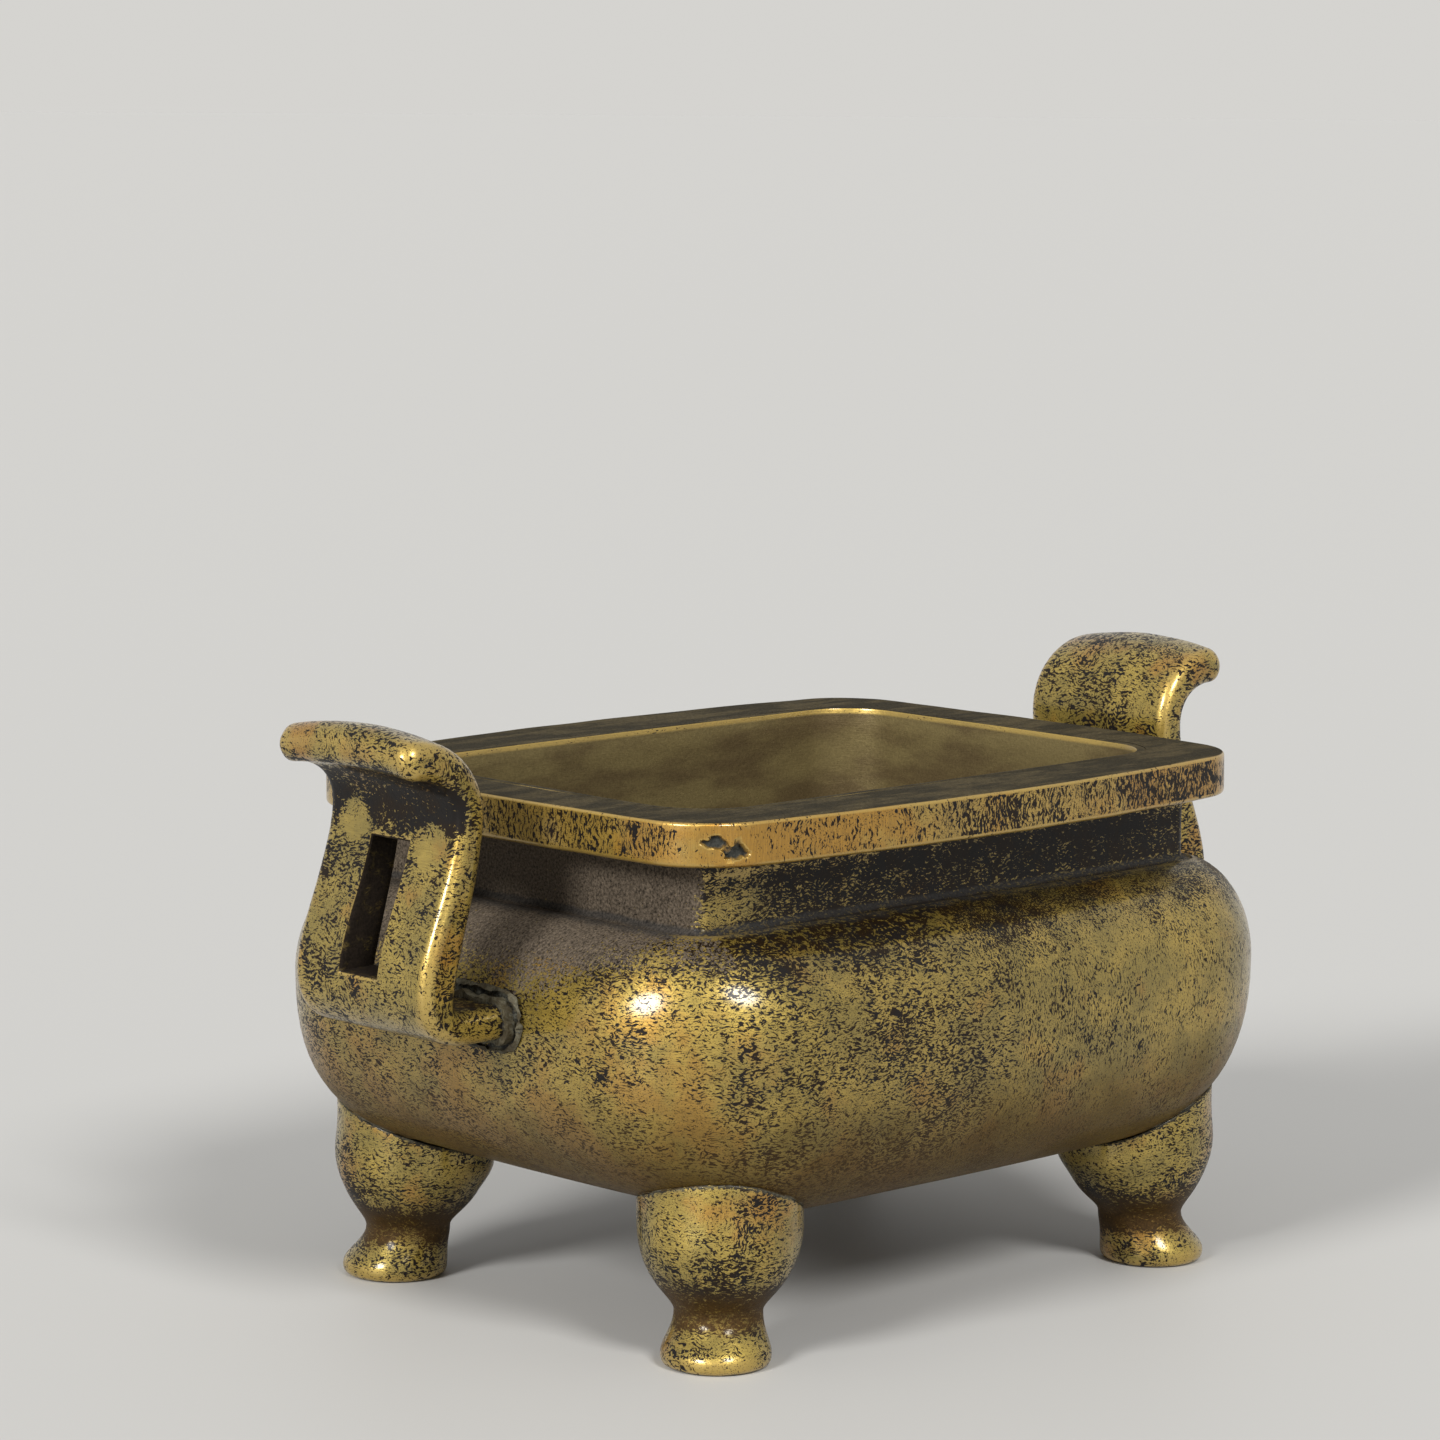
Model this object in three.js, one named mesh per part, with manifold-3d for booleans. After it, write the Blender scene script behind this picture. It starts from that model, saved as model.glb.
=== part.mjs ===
// Square incense burner in brass: a rectangular bellied basin on four goblet-shaped feet,
// with a flat everted rim and two upright scrolled ears standing clear of the rim.
// Millimetres, +Z up, X along the length with an ear at each end, origin on the ground
// below the middle. The free-standing burner has no moving parts.

import * as THREE from 'three';
import { mergeVertices } from 'three/addons/utils/BufferGeometryUtils.js';
import Module from 'manifold-3d';

const wasm = await Module();
wasm.setup();

// Fits
const seatGap = 0.3;            // solder gap between two pieces that seat on each other
const socketGap = 0.3;          // gap round a tenon in its socket

// Neck, a straight-sided band between belly and rim
const neckHalfLength = 51.6;
const neckHalfWidth = 37.2;
const neckHeight = 9.9;
const neckCorner = 2;
const neckBow = 0.5;
const neckWall = 3.1;
const neckInnerCorner = 9;

// Rim, a flat plate laid on the neck round a thin upstanding tongue
const rimThickness = 6.5;
const rimOverhangEnds = 7.6;
const rimOverhangSides = 10.6;
const rimCorner = 9;
const rimBowEnds = 2.2;
const rimBowSides = 4.6;
const rimLowerRound = 0.8;
const rimUpperRound = 0.5;
const tongueWall = 1.6;

// Belly
const bellyOutsetEnds = 14.9;   // how far the belly stands out past the neck
const bellyOutsetSides = 15.6;
const bellyLowerHeight = 27.4;  // from the flat of the underside up to the widest level
const bellyShoulderHeight = 14.9;
const bellyUndercutEnds = 35;   // how far the underside runs in before it is flat
const bellyUndercutSides = 20;
const bellyCorner = 24.5;
const bellyBottomCorner = 4;
const bellyBow = 1.8;
const shoulderFullness = 2;     // superellipse exponents, 2 is a plain ellipse
const undersideFullness = 2.5;
const bellyWall = 4.5;
const floorThickness = 5.5;

// Feet, placed by how far their base centres lie inside the belly's widest level
const footHeight = 20;          // ground to the flat of the belly's underside
const footInsetEnds = 20.5;
const footInsetSides = 17.5;
const footBaseRadius = 8.05;
const footBaseRound = 1.5;
const footWaistRadius = 6.5;
const footWaistZ = 7.4;
const footBowlRadius = 12.1;
const footBaseCove = { side: 0.46, waist: 0.62 };    // shares of the height up to the waist
const footBowlSwell = { waist: 0.22, bowl: 0.4 };    // shares of the height up to the bowl
const footKick = 2;             // the base ring stands this far out past the waist
const footTopLean = 1.2;        // the bowl's top leans in this far under the belly
const footTenonRadius = 4.2;
const footTenonDepth = 3;

// Ears, placed from the belly's end outwards and from their tab upwards
const earWidth = 29.4;
const earTabRise = 1.1;         // middle of the tab above the belly's widest level
const earFootReach = 12.1;
const earFootRise = 8;
const earWaistReach = 6.5;
const earWaistRise = 29.5;
const earTipReach = 18.8;
const earTopRise = 40.7;
const earTabThickness = 5;
const earFootThickness = 6.5;
const earWaistThickness = 5.1;
const earTipThickness = 5.4;
const earEdgeRound = 1.9;
const earCrestCrown = 1.6;
const earSlotWidth = 8.1;
const earSlotHeight = 18.6;
const earSlotRise = 6.8;        // bottom of the slot above the middle of the tab
const earTenonWidth = 12;
const earTenonThickness = 2.6;
const earTenonDepth = 2.6;

// Solder collars round the roots of the ears
const collarReach = 2.2;
const collarDepth = 2;
const collarEdge = 0.4;
const collarCorner = 1.2;

// Facets
const leastSide = 0.5;          // half of the shortest straight side left between corners
const vesselSteps = { corner: 8, side: 7 };
const outsideSteps = { underside: 9, shoulder: 8 };
const insideSteps = { underside: 7, shoulder: 5 };
const solderSteps = { corner: 3, side: 1 };
const footSides = 28;
const footCurveSteps = 5;

const brass = (name, color, roughness) =>
  new THREE.MeshStandardMaterial({ name, color, roughness, metalness: 0.85 });

const patinaBrass = brass('patina_brass', 0x8f7c35, 0.38);
const rimBrass = brass('rim_brass', 0x9a7a3a, 0.36);
const earBrass = brass('ear_brass', 0x97833c, 0.34);
const footBrass = brass('foot_brass', 0x937f38, 0.36);
const solderGrey = brass('solder', 0x5d5f4c, 0.6);

// Levels and places worked out from the sizes above
const bellyBottomZ = footHeight;
const bellyWidestZ = bellyBottomZ + bellyLowerHeight;
const neckBaseZ = bellyWidestZ + bellyShoulderHeight;
const rimSeatZ = neckBaseZ + neckHeight;
const rimTopZ = rimSeatZ + rimThickness;
const bellyHalfLength = neckHalfLength + bellyOutsetEnds;
const bellyHalfWidth = neckHalfWidth + bellyOutsetSides;
const tongueInset = neckWall - tongueWall;
const footTenonTopZ = bellyBottomZ + footTenonDepth;
const footCentres = [[-1, -1], [1, -1], [1, 1], [-1, 1]].map(([signX, signY]) => {
  const base = new THREE.Vector2(
    signX * (bellyHalfLength - footInsetEnds),
    signY * (bellyHalfWidth - footInsetSides),
  );
  const outwards = base.clone().normalize();
  const waist = base.clone().addScaledVector(outwards, -footKick);
  const top = waist.clone().addScaledVector(outwards, -footTopLean);
  return { base, waist, top };
});
const earTabZ = bellyWidestZ + earTabRise;
const earTenonEndX = bellyHalfLength - earTenonDepth;

// Plan sections

// One level of the vessel seen from above: a rectangle with round corners whose sides bow
// outwards by bowX at the ends and bowY along the sides. Anticlockwise, the same number of
// points at every level so that levels can be joined.
function planRing(z, halfX, halfY, corner, bowX, bowY, steps = vesselSteps) {
  const coreX = halfX - bowX;
  const coreY = halfY - bowY;
  const radius = Math.min(corner, coreX - leastSide, coreY - leastSide);
  const straight = [];
  const arcs = [[1, -1], [1, 1], [-1, 1], [-1, -1]];
  arcs.forEach(([signX, signY], index) => {
    const startAngle = (index - 1) * Math.PI / 2;
    const centre = new THREE.Vector2(signX * (coreX - radius), signY * (coreY - radius));
    for (let step = 0; step <= steps.corner; step += 1) {
      const angle = startAngle + step / steps.corner * Math.PI / 2;
      const offset = new THREE.Vector2(Math.cos(angle), Math.sin(angle)).multiplyScalar(radius);
      straight.push(centre.clone().add(offset));
    }
    const [nextX, nextY] = arcs[(index + 1) % arcs.length];
    const nextAngle = startAngle + Math.PI / 2;
    const nextStart = new THREE.Vector2(nextX * (coreX - radius), nextY * (coreY - radius));
    nextStart.x += Math.cos(nextAngle) * radius;
    nextStart.y += Math.sin(nextAngle) * radius;
    const last = straight[straight.length - 1];
    for (let step = 1; step < steps.side; step += 1) {
      straight.push(last.clone().lerp(nextStart, step / steps.side));
    }
  });
  return straight.map(({ x, y }) => new THREE.Vector3(
    x * (1 + bowX / coreX * (1 - (y / coreY) ** 2)),
    y * (1 + bowY / coreY * (1 - (x / coreX) ** 2)),
    z,
  ));
}

// Skins a stack of rings. An open stack is capped at its first and last ring, a closed one
// is joined from its last ring back to its first.
function skin(rings, closed = false) {
  const count = rings[0].length;
  const positions = rings.flat().flatMap(({ x, y, z }) => [x, y, z]);
  const indices = [];
  const bands = closed ? rings.length : rings.length - 1;
  for (let band = 0; band < bands; band += 1) {
    const lower = band * count;
    const upper = (band + 1) % rings.length * count;
    for (let side = 0; side < count; side += 1) {
      const next = (side + 1) % count;
      indices.push(lower + side, lower + next, upper + next);
      indices.push(lower + side, upper + next, upper + side);
    }
  }
  if (!closed) {
    for (const [ring, turned] of [[0, true], [rings.length - 1, false]]) {
      const centre = positions.length / 3;
      positions.push(0, 0, rings[ring][0].z);
      for (let side = 0; side < count; side += 1) {
        const edge = [ring * count + side, ring * count + (side + 1) % count];
        indices.push(centre, ...(turned ? edge.reverse() : edge));
      }
    }
  }
  const geometry = new THREE.BufferGeometry();
  geometry.setAttribute('position', new THREE.Float32BufferAttribute(positions, 3));
  geometry.setIndex(indices);
  return geometry;
}

// Solids for cutting and joining

function toSolid(geometry) {
  const bare = geometry.clone();
  bare.deleteAttribute('normal');
  bare.deleteAttribute('uv');
  const merged = mergeVertices(bare, 1e-4);
  const triangles = [];
  for (let at = 0; at < merged.index.count; at += 3) {
    const [a, b, c] = [0, 1, 2].map((corner) => merged.index.getX(at + corner));
    if (a !== b && b !== c && c !== a) {
      triangles.push(a, b, c);
    }
  }
  return new wasm.Manifold(new wasm.Mesh({
    numProp: 3,
    vertProperties: new Float32Array(merged.attributes.position.array),
    triVerts: new Uint32Array(triangles),
  }));
}

function toGeometry(solid) {
  const mesh = solid.getMesh();
  const geometry = new THREE.BufferGeometry();
  geometry.setAttribute('position', new THREE.BufferAttribute(mesh.vertProperties, 3));
  geometry.setIndex(new THREE.BufferAttribute(mesh.triVerts, 1));
  geometry.computeVertexNormals();
  return geometry;
}

const block = (sizeX, sizeY, sizeZ, x, y, z) =>
  toSolid(new THREE.BoxGeometry(sizeX, sizeY, sizeZ).translate(x, y, z));

const upright = (radius, bottomZ, topZ, axis) => toSolid(
  new THREE.CylinderGeometry(radius, radius, topZ - bottomZ, footSides)
    .rotateX(Math.PI / 2)
    .translate(axis.x, axis.y, (bottomZ + topZ) / 2),
);

// Basin

// A quarter of a superellipse as [across, up] shares, from the widest point to the top.
function quarterCurve(steps, exponent) {
  const shares = [];
  for (let step = 0; step <= steps; step += 1) {
    const angle = step / steps * Math.PI / 2;
    const across = Math.max(0, Math.cos(angle)) ** (2 / exponent);
    shares.push([across, Math.sin(angle) ** (2 / exponent)]);
  }
  return shares;
}

// The belly's levels from the flat of the bottom up to the neck. A shell gives how far it
// is grown past the belly's outside and past the neck's, less than nothing for the inside.
function bellyRings(shell) {
  const { growBelly, growNeck, bottomZ, neckZ, cornerAtNeck, cornerAtBottom, steps } = shell;
  const widest = {
    ends: bellyOutsetEnds + growBelly,
    sides: bellyOutsetSides + growBelly,
    corner: bellyCorner + growBelly,
    bow: bellyBow,
  };
  const neck = { ends: growNeck, sides: growNeck, corner: cornerAtNeck, bow: neckBow };
  const bottom = {
    ends: bellyOutsetEnds - bellyUndercutEnds,
    sides: bellyOutsetSides - bellyUndercutSides,
    corner: cornerAtBottom,
    bow: neckBow,
  };
  const level = (z, far, share) => {
    const mix = (key) => THREE.MathUtils.lerp(far[key], widest[key], share);
    const halfX = neckHalfLength + mix('ends');
    const halfY = neckHalfWidth + mix('sides');
    return planRing(z, halfX, halfY, mix('corner'), mix('bow'), mix('bow'));
  };
  const underside = quarterCurve(steps.underside, undersideFullness).reverse()
    .map(([across, up]) => level(bellyWidestZ - (bellyWidestZ - bottomZ) * up, bottom, across));
  const shoulder = quarterCurve(steps.shoulder, shoulderFullness).slice(1)
    .map(([across, up]) => level(bellyWidestZ + (neckZ - bellyWidestZ) * up, neck, across));
  return [...underside, ...shoulder];
}

// The belly's outside, grown all round by an allowance. Pieces that seat on the belly are
// cut back with it.
function bellyOutside(allowance) {
  return bellyRings({
    growBelly: allowance,
    growNeck: allowance,
    bottomZ: bellyBottomZ - allowance,
    neckZ: neckBaseZ,
    cornerAtNeck: neckCorner,
    cornerAtBottom: bellyBottomCorner,
    steps: outsideSteps,
  });
}

const neckRing = (z, inset, corner) => planRing(
  z, neckHalfLength - inset, neckHalfWidth - inset, corner, neckBow, neckBow,
);

function basin() {
  const inside = bellyRings({
    growBelly: -bellyWall,
    growNeck: -neckWall,
    bottomZ: bellyBottomZ + floorThickness,
    neckZ: neckBaseZ - bellyWall + neckWall / 2,
    cornerAtNeck: neckInnerCorner,
    cornerAtBottom: bellyBottomCorner,
    steps: insideSteps,
  });
  const tongueCorner = neckInnerCorner + tongueWall;
  const rings = [
    ...bellyOutside(0),
    neckRing(rimSeatZ - seatGap, 0, neckCorner),
    neckRing(rimSeatZ - seatGap, tongueInset, tongueCorner),
    neckRing(rimTopZ, tongueInset, tongueCorner),
    neckRing(rimTopZ, neckWall, neckInnerCorner),
    ...inside.reverse(),
  ];
  let solid = toSolid(skin(rings));
  for (const { top } of footCentres) {
    const socketRadius = footTenonRadius + socketGap;
    const socketTopZ = footTenonTopZ + socketGap;
    solid = solid.subtract(upright(socketRadius, 0, socketTopZ, top));
  }
  for (const end of [-1, 1]) {
    solid = solid.subtract(block(
      2 * bellyWall,
      earTenonWidth + 2 * socketGap,
      earTenonThickness + 2 * socketGap,
      end * (earTenonEndX - socketGap + bellyWall),
      0,
      earTabZ,
    ));
  }
  return toGeometry(solid);
}

// Rim

function rimPlate() {
  const halfLength = neckHalfLength + rimOverhangEnds;
  const halfWidth = neckHalfWidth + rimOverhangSides;
  const ring = (z, inset) => planRing(
    z, halfLength - inset, halfWidth - inset, rimCorner - inset, rimBowEnds, rimBowSides,
  );
  const holeInset = tongueInset - seatGap;
  const hole = (z) => neckRing(z, holeInset, neckInnerCorner + tongueWall + seatGap);
  const roundSteps = 3;
  const lowerEdge = [];
  const upperEdge = [];
  for (let step = 0; step <= roundSteps; step += 1) {
    const angle = step / roundSteps * Math.PI / 2;
    const inset = 1 - Math.sin(angle);
    const rise = 1 - Math.cos(angle);
    lowerEdge.push(ring(rimSeatZ + rimLowerRound * rise, rimLowerRound * inset));
    upperEdge.unshift(ring(rimTopZ - rimUpperRound * rise, rimUpperRound * inset));
  }
  const rings = [hole(rimSeatZ), ...lowerEdge, ...upperEdge, hole(rimTopZ)];
  return toGeometry(toSolid(skin(rings, true)));
}

// Feet

function foot({ base, waist, top }) {
  const bowlZ = bellyBottomZ + footTenonDepth / 2;
  const trimZ = bellyBottomZ + bellyLowerHeight / 2;
  const profile = new THREE.Path();
  profile.moveTo(0, 0);
  profile.lineTo(footBaseRadius - footBaseRound, 0);
  profile.quadraticCurveTo(footBaseRadius, 0, footBaseRadius, footBaseRound);
  profile.bezierCurveTo(
    footBaseRadius, footWaistZ * footBaseCove.side,
    footWaistRadius, footWaistZ * footBaseCove.waist,
    footWaistRadius, footWaistZ,
  );
  const bowlRise = bowlZ - footWaistZ;
  profile.bezierCurveTo(
    footWaistRadius, footWaistZ + bowlRise * footBowlSwell.waist,
    footBowlRadius, footWaistZ + bowlRise * footBowlSwell.bowl,
    footBowlRadius, bowlZ,
  );
  profile.lineTo(footBowlRadius, trimZ);
  profile.lineTo(0, trimZ);
  const turned = new THREE.LatheGeometry(profile.getPoints(footCurveSteps), footSides);
  turned.rotateX(Math.PI / 2);
  // The foot's middle line bends: below the waist it kicks outwards, so that the base ring
  // stands clear, and towards its top it leans in under the belly.
  const position = turned.attributes.position;
  const middle = new THREE.Vector2();
  for (let at = 0; at < position.count; at += 1) {
    const z = position.getZ(at);
    const kick = 1 - THREE.MathUtils.smoothstep(z, footWaistZ / 5, footWaistZ);
    const lean = THREE.MathUtils.smoothstep(z, (footWaistZ + bowlZ) / 2, bowlZ);
    middle.lerpVectors(waist, base, kick).lerp(top, lean);
    position.setX(at, position.getX(at) + middle.x);
    position.setY(at, position.getY(at) + middle.y);
  }
  const belly = toSolid(skin(bellyOutside(seatGap)));
  const tenon = upright(footTenonRadius, bellyBottomZ - footTenonDepth, footTenonTopZ, top);
  return toGeometry(toSolid(turned).subtract(belly).add(tenon));
}

// Ears

// The ear seen from the side, as a line through the middle of the metal: out along the tab,
// round the foot, up the leaning plate and out again over the crest.
function earLine() {
  const line = new THREE.CurvePath();
  const point = (x, z) => new THREE.Vector2(x, z);
  const tabStart = point(earTenonEndX, earTabZ);
  const footX = bellyHalfLength + earFootReach;
  const footZ = earTabZ + earFootRise;
  const waistX = bellyHalfLength + earWaistReach;
  const waistZ = earTabZ + earWaistRise;
  const plateRise = earWaistRise - earFootRise;
  const lean = earFootReach - earWaistReach;
  const tabEnd = point(footX - earFootThickness * 0.8, earTabZ);
  const plateFoot = point(footX, footZ);
  const waist = point(waistX, waistZ);
  const tip = point(
    bellyHalfLength + earTipReach - earTipThickness / 2,
    earTabZ + earTopRise - earTipThickness / 2,
  );
  line.add(new THREE.LineCurve(tabStart, tabEnd));
  line.add(new THREE.CubicBezierCurve(
    tabEnd,
    point(footX + lean * 0.05, earTabZ),
    point(footX + lean * 0.18, footZ - earFootRise * 0.62),
    plateFoot,
  ));
  line.add(new THREE.CubicBezierCurve(
    plateFoot,
    point(footX - lean * 0.2, footZ + plateRise * 0.25),
    point(waistX, waistZ - plateRise * 0.3),
    waist,
  ));
  line.add(new THREE.CubicBezierCurve(
    waist,
    point(waist.x, waist.y + (tip.y - waist.y) * 0.6),
    point(waist.x + (tip.x - waist.x) * 0.45, tip.y),
    tip,
  ));
  return line;
}

// Metal thickness along the line, from the tab at 0 to the tip at 1.
function earThickness(share) {
  const stations = [
    [0, earTabThickness],
    [0.2, earTabThickness],
    [0.34, earFootThickness],
    [0.72, earWaistThickness],
    [1, earTipThickness],
  ];
  const upper = stations.findIndex(([at]) => at >= share);
  const [fromAt, from] = stations[Math.max(0, upper - 1)];
  const [toAt, to] = stations[Math.max(1, upper)];
  return from + (to - from) * THREE.MathUtils.smoothstep(share, fromAt, toAt);
}

function earOutline() {
  const line = earLine();
  const steps = 24;
  const tipSteps = 6;
  const outer = [];
  const inner = [];
  for (let step = 0; step <= steps; step += 1) {
    const share = step / steps;
    const middle = line.getPointAt(share);
    const along = line.getTangentAt(share);
    const across = new THREE.Vector2(along.y, -along.x).multiplyScalar(earThickness(share) / 2);
    outer.push(middle.clone().add(across));
    inner.push(middle.clone().sub(across));
  }
  const tip = line.getPointAt(1);
  const start = outer[steps].clone().sub(tip).angle();
  const cap = [];
  for (let step = 1; step < tipSteps; step += 1) {
    const angle = start + step / tipSteps * Math.PI;
    cap.push(new THREE.Vector2(Math.cos(angle), Math.sin(angle))
      .multiplyScalar(earTipThickness / 2)
      .add(tip));
  }
  return new THREE.Shape([...outer, ...cap, ...inner.reverse()]);
}

function ear() {
  const plate = new THREE.ExtrudeGeometry(earOutline(), {
    depth: earWidth - 2 * earEdgeRound,
    steps: 6,
    bevelEnabled: true,
    bevelThickness: earEdgeRound,
    bevelSize: earEdgeRound,
    bevelOffset: -earEdgeRound,
    bevelSegments: 3,
  });
  plate.translate(0, 0, earEdgeRound - earWidth / 2);
  plate.rotateX(Math.PI / 2);
  // The crest is crowned: its middle stands higher than its two corners.
  const position = plate.attributes.position;
  for (let at = 0; at < position.count; at += 1) {
    const z = position.getZ(at);
    const share = 1 - (position.getY(at) / (earWidth / 2)) ** 2;
    const rise = z - earTabZ;
    const crest = THREE.MathUtils.smoothstep(rise, earWaistRise, earTopRise);
    position.setZ(at, z + earCrestCrown * share * crest);
  }
  const slot = block(
    2 * earTipReach, earSlotWidth, earSlotHeight,
    bellyHalfLength + earTipReach, 0, earTabZ + earSlotRise + earSlotHeight / 2,
  );
  const tenonLength = earTenonDepth + earTipReach / 4;
  const tenon = block(
    tenonLength, earTenonWidth, earTenonThickness,
    earTenonEndX + tenonLength / 2, 0, earTabZ,
  );
  const belly = toSolid(skin(bellyOutside(seatGap)));
  return toGeometry(toSolid(plate).subtract(slot).subtract(belly).add(tenon));
}

// The solder that was run round the root of an ear: a hollow fillet in the corner between
// the tab and the belly. Its rings lie across the tab and are stacked outwards along it.
function earSolder() {
  const ring = (depth, grow, corner) => planRing(
    depth, earTabThickness / 2 + grow, earWidth / 2 + grow, corner, 0, 0, solderSteps,
  );
  const fillet = [];
  const filletSteps = 4;
  for (let step = 0; step <= filletSteps; step += 1) {
    const angle = step / filletSteps * Math.PI / 2;
    const grow = collarEdge + seatGap + (collarReach - collarEdge) * (1 - Math.sin(angle));
    fillet.push(ring(collarDepth * (1 - Math.cos(angle)), grow, collarCorner + grow));
  }
  const run = skin([
    ring(-bellyWall, seatGap, collarCorner),
    ring(-bellyWall, seatGap + collarReach, collarCorner + collarReach),
    ...fillet,
    ring(collarDepth, seatGap, collarCorner),
  ], true);
  run.rotateY(Math.PI / 2);
  run.translate(bellyHalfLength, 0, earTabZ);
  const belly = toSolid(skin(bellyOutside(seatGap)));
  return toGeometry(toSolid(run).subtract(belly));
}

// Assembly

const burner = new THREE.Group();

function place(name, geometry, material, turn = 0) {
  const mesh = new THREE.Mesh(geometry, material.clone());
  mesh.name = name;
  mesh.rotation.z = turn;
  burner.add(mesh);
}

place('basin', basin(), patinaBrass);
place('rim_plate', rimPlate(), rimBrass);

const footNames = ['foot_front_left', 'foot_front_right', 'foot_back_right', 'foot_back_left'];
footCentres.forEach((centre, index) => place(footNames[index], foot(centre), footBrass));

for (const [side, turn] of [['right', 0], ['left', Math.PI]]) {
  place(`ear_${side}`, ear(), earBrass, turn);
  place(`ear_solder_${side}`, earSolder(), solderGrey, turn);
}

export default burner;
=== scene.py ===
"""Square incense burner in worn, dark-flecked brass, on a pale studio floor."""

import math

import bmesh
import bpy
from mathutils import Matrix, Vector, geometry, noise
from mathutils.bvhtree import BVHTree


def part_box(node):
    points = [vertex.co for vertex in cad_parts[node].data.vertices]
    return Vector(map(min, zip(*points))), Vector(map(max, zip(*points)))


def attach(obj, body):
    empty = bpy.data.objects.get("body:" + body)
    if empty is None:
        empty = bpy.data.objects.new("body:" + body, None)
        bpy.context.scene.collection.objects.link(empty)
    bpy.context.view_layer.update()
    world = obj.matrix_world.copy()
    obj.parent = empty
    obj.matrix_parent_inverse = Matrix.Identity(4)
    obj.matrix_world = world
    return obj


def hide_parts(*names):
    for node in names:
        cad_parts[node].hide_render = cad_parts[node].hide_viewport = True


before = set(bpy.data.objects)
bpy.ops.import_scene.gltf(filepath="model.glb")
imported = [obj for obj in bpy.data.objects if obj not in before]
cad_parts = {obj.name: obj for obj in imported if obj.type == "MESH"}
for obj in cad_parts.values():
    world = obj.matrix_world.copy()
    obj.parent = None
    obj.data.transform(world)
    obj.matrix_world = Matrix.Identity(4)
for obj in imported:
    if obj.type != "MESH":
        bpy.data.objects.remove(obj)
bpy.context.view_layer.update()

MM = 0.001


# Camera, at the photograph's viewing angle

VIEW_AZIMUTH = math.radians(-43.475)
VIEW_ELEVATION = math.radians(7.726)
VIEW_ROLL = math.radians(0.347)
VIEW_DISTANCE = 732.8 * MM
VIEW_AIM = Vector((-2.6, 10.5, 82.6)) * MM
VIEW_LENS = 120.7
VIEW_SHIFT = 0.0021


def direction(azimuth, elevation):
    """Unit vector from the burner towards an azimuth and elevation, in radians."""
    level = math.cos(elevation)
    return Vector((math.sin(azimuth) * level, -math.cos(azimuth) * level, math.sin(elevation)))


def add_object(name, data):
    made = bpy.data.objects.new(name, data)
    bpy.context.collection.objects.link(made)
    return made


def add_camera():
    data = bpy.data.cameras.new("camera")
    data.sensor_width = 36
    data.lens = VIEW_LENS
    data.shift_y = VIEW_SHIFT
    data.clip_start = 0.05
    data.clip_end = 20
    camera = add_object("camera", data)
    back = direction(VIEW_AZIMUTH, VIEW_ELEVATION)
    upright = (-back).to_track_quat("-Z", "Y").to_matrix()
    camera.rotation_euler = (upright @ Matrix.Rotation(VIEW_ROLL, 3, "Z")).to_euler()
    camera.location = VIEW_AIM + back * VIEW_DISTANCE
    bpy.context.scene.camera = camera


add_camera()
bpy.context.scene.view_settings.view_transform = "Standard"


# Sizes of the burner, in millimetres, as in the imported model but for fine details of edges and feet

NECK_HALF_LENGTH = 51.6
NECK_HALF_WIDTH = 37.2
NECK_CORNER = 2
NECK_BOW = 0.5
NECK_WALL = 3.1
NECK_INNER_CORNER = 9
NECK_COVE = 1.1  # radius of the hollow where the neck meets the shoulder
GROOVE_DEPTH = 0.45

RIM_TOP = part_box("rim_plate")[1].z / MM
RIM_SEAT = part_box("rim_plate")[0].z / MM
RIM_HALF_LENGTH = 59.2
RIM_HALF_WIDTH = 47.8
RIM_CORNER = 9
RIM_BOW_ENDS = 2.2
RIM_BOW_SIDES = 4.6
RIM_LOWER_ROUND = 0.8
RIM_UPPER_ROUND = 0.6
TONGUE_WALL = 1.6
TONGUE_GAP = 0.06
LIP_ROUND = 0.35
# Each pit's middle, half width, half height and depth
CASTING_PITS = [((-53.3, -42.2, 75.9), 1.7, 0.8, 0.7), ((-50.7, -43.8, 74.5), 2.1, 1.0, 1.0)]

BELLY_WIDEST = 47.4
BELLY_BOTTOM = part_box("basin")[0].z / MM
BELLY_OUTSET_ENDS = 14.9
BELLY_OUTSET_SIDES = 15.6
BELLY_SHOULDER = 14.9
BELLY_UNDERCUT_ENDS = 35
BELLY_UNDERCUT_SIDES = 20
BELLY_CORNER = 24.5
BELLY_BOTTOM_CORNER = 4
BELLY_BOW = 1.8
SHOULDER_FULLNESS = 2  # superellipse exponents, 2 is a plain ellipse
UNDERSIDE_FULLNESS = 2.5
BELLY_WALL = 4.5
FLOOR_THICKNESS = 5.5
NECK_BASE = BELLY_WIDEST + BELLY_SHOULDER
BELLY_END = NECK_HALF_LENGTH + BELLY_OUTSET_ENDS
BELLY_SIDE = NECK_HALF_WIDTH + BELLY_OUTSET_SIDES

FOOT_INSET_ENDS = 20.5
FOOT_INSET_SIDES = 17.5
FOOT_BASE_RADIUS = 8.05
FOOT_BASE_ROUND = 1.6
FOOT_WAIST_RADIUS = 6.5
FOOT_WAIST = 7.4
FOOT_BOWL_RADIUS = 12.1
FOOT_BOWL = 21.5
FOOT_BASE_COVE = (0.46, 0.62)  # shares of the height up to the waist
FOOT_BOWL_SWELL = (0.17, 0.35)  # shares of the height from the waist to the bowl
FOOT_KICK = 2
FOOT_TOP_LEAN = 1.2
FOOT_GAP = 0.03
BEAD_RADIUS = 0.34

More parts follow.
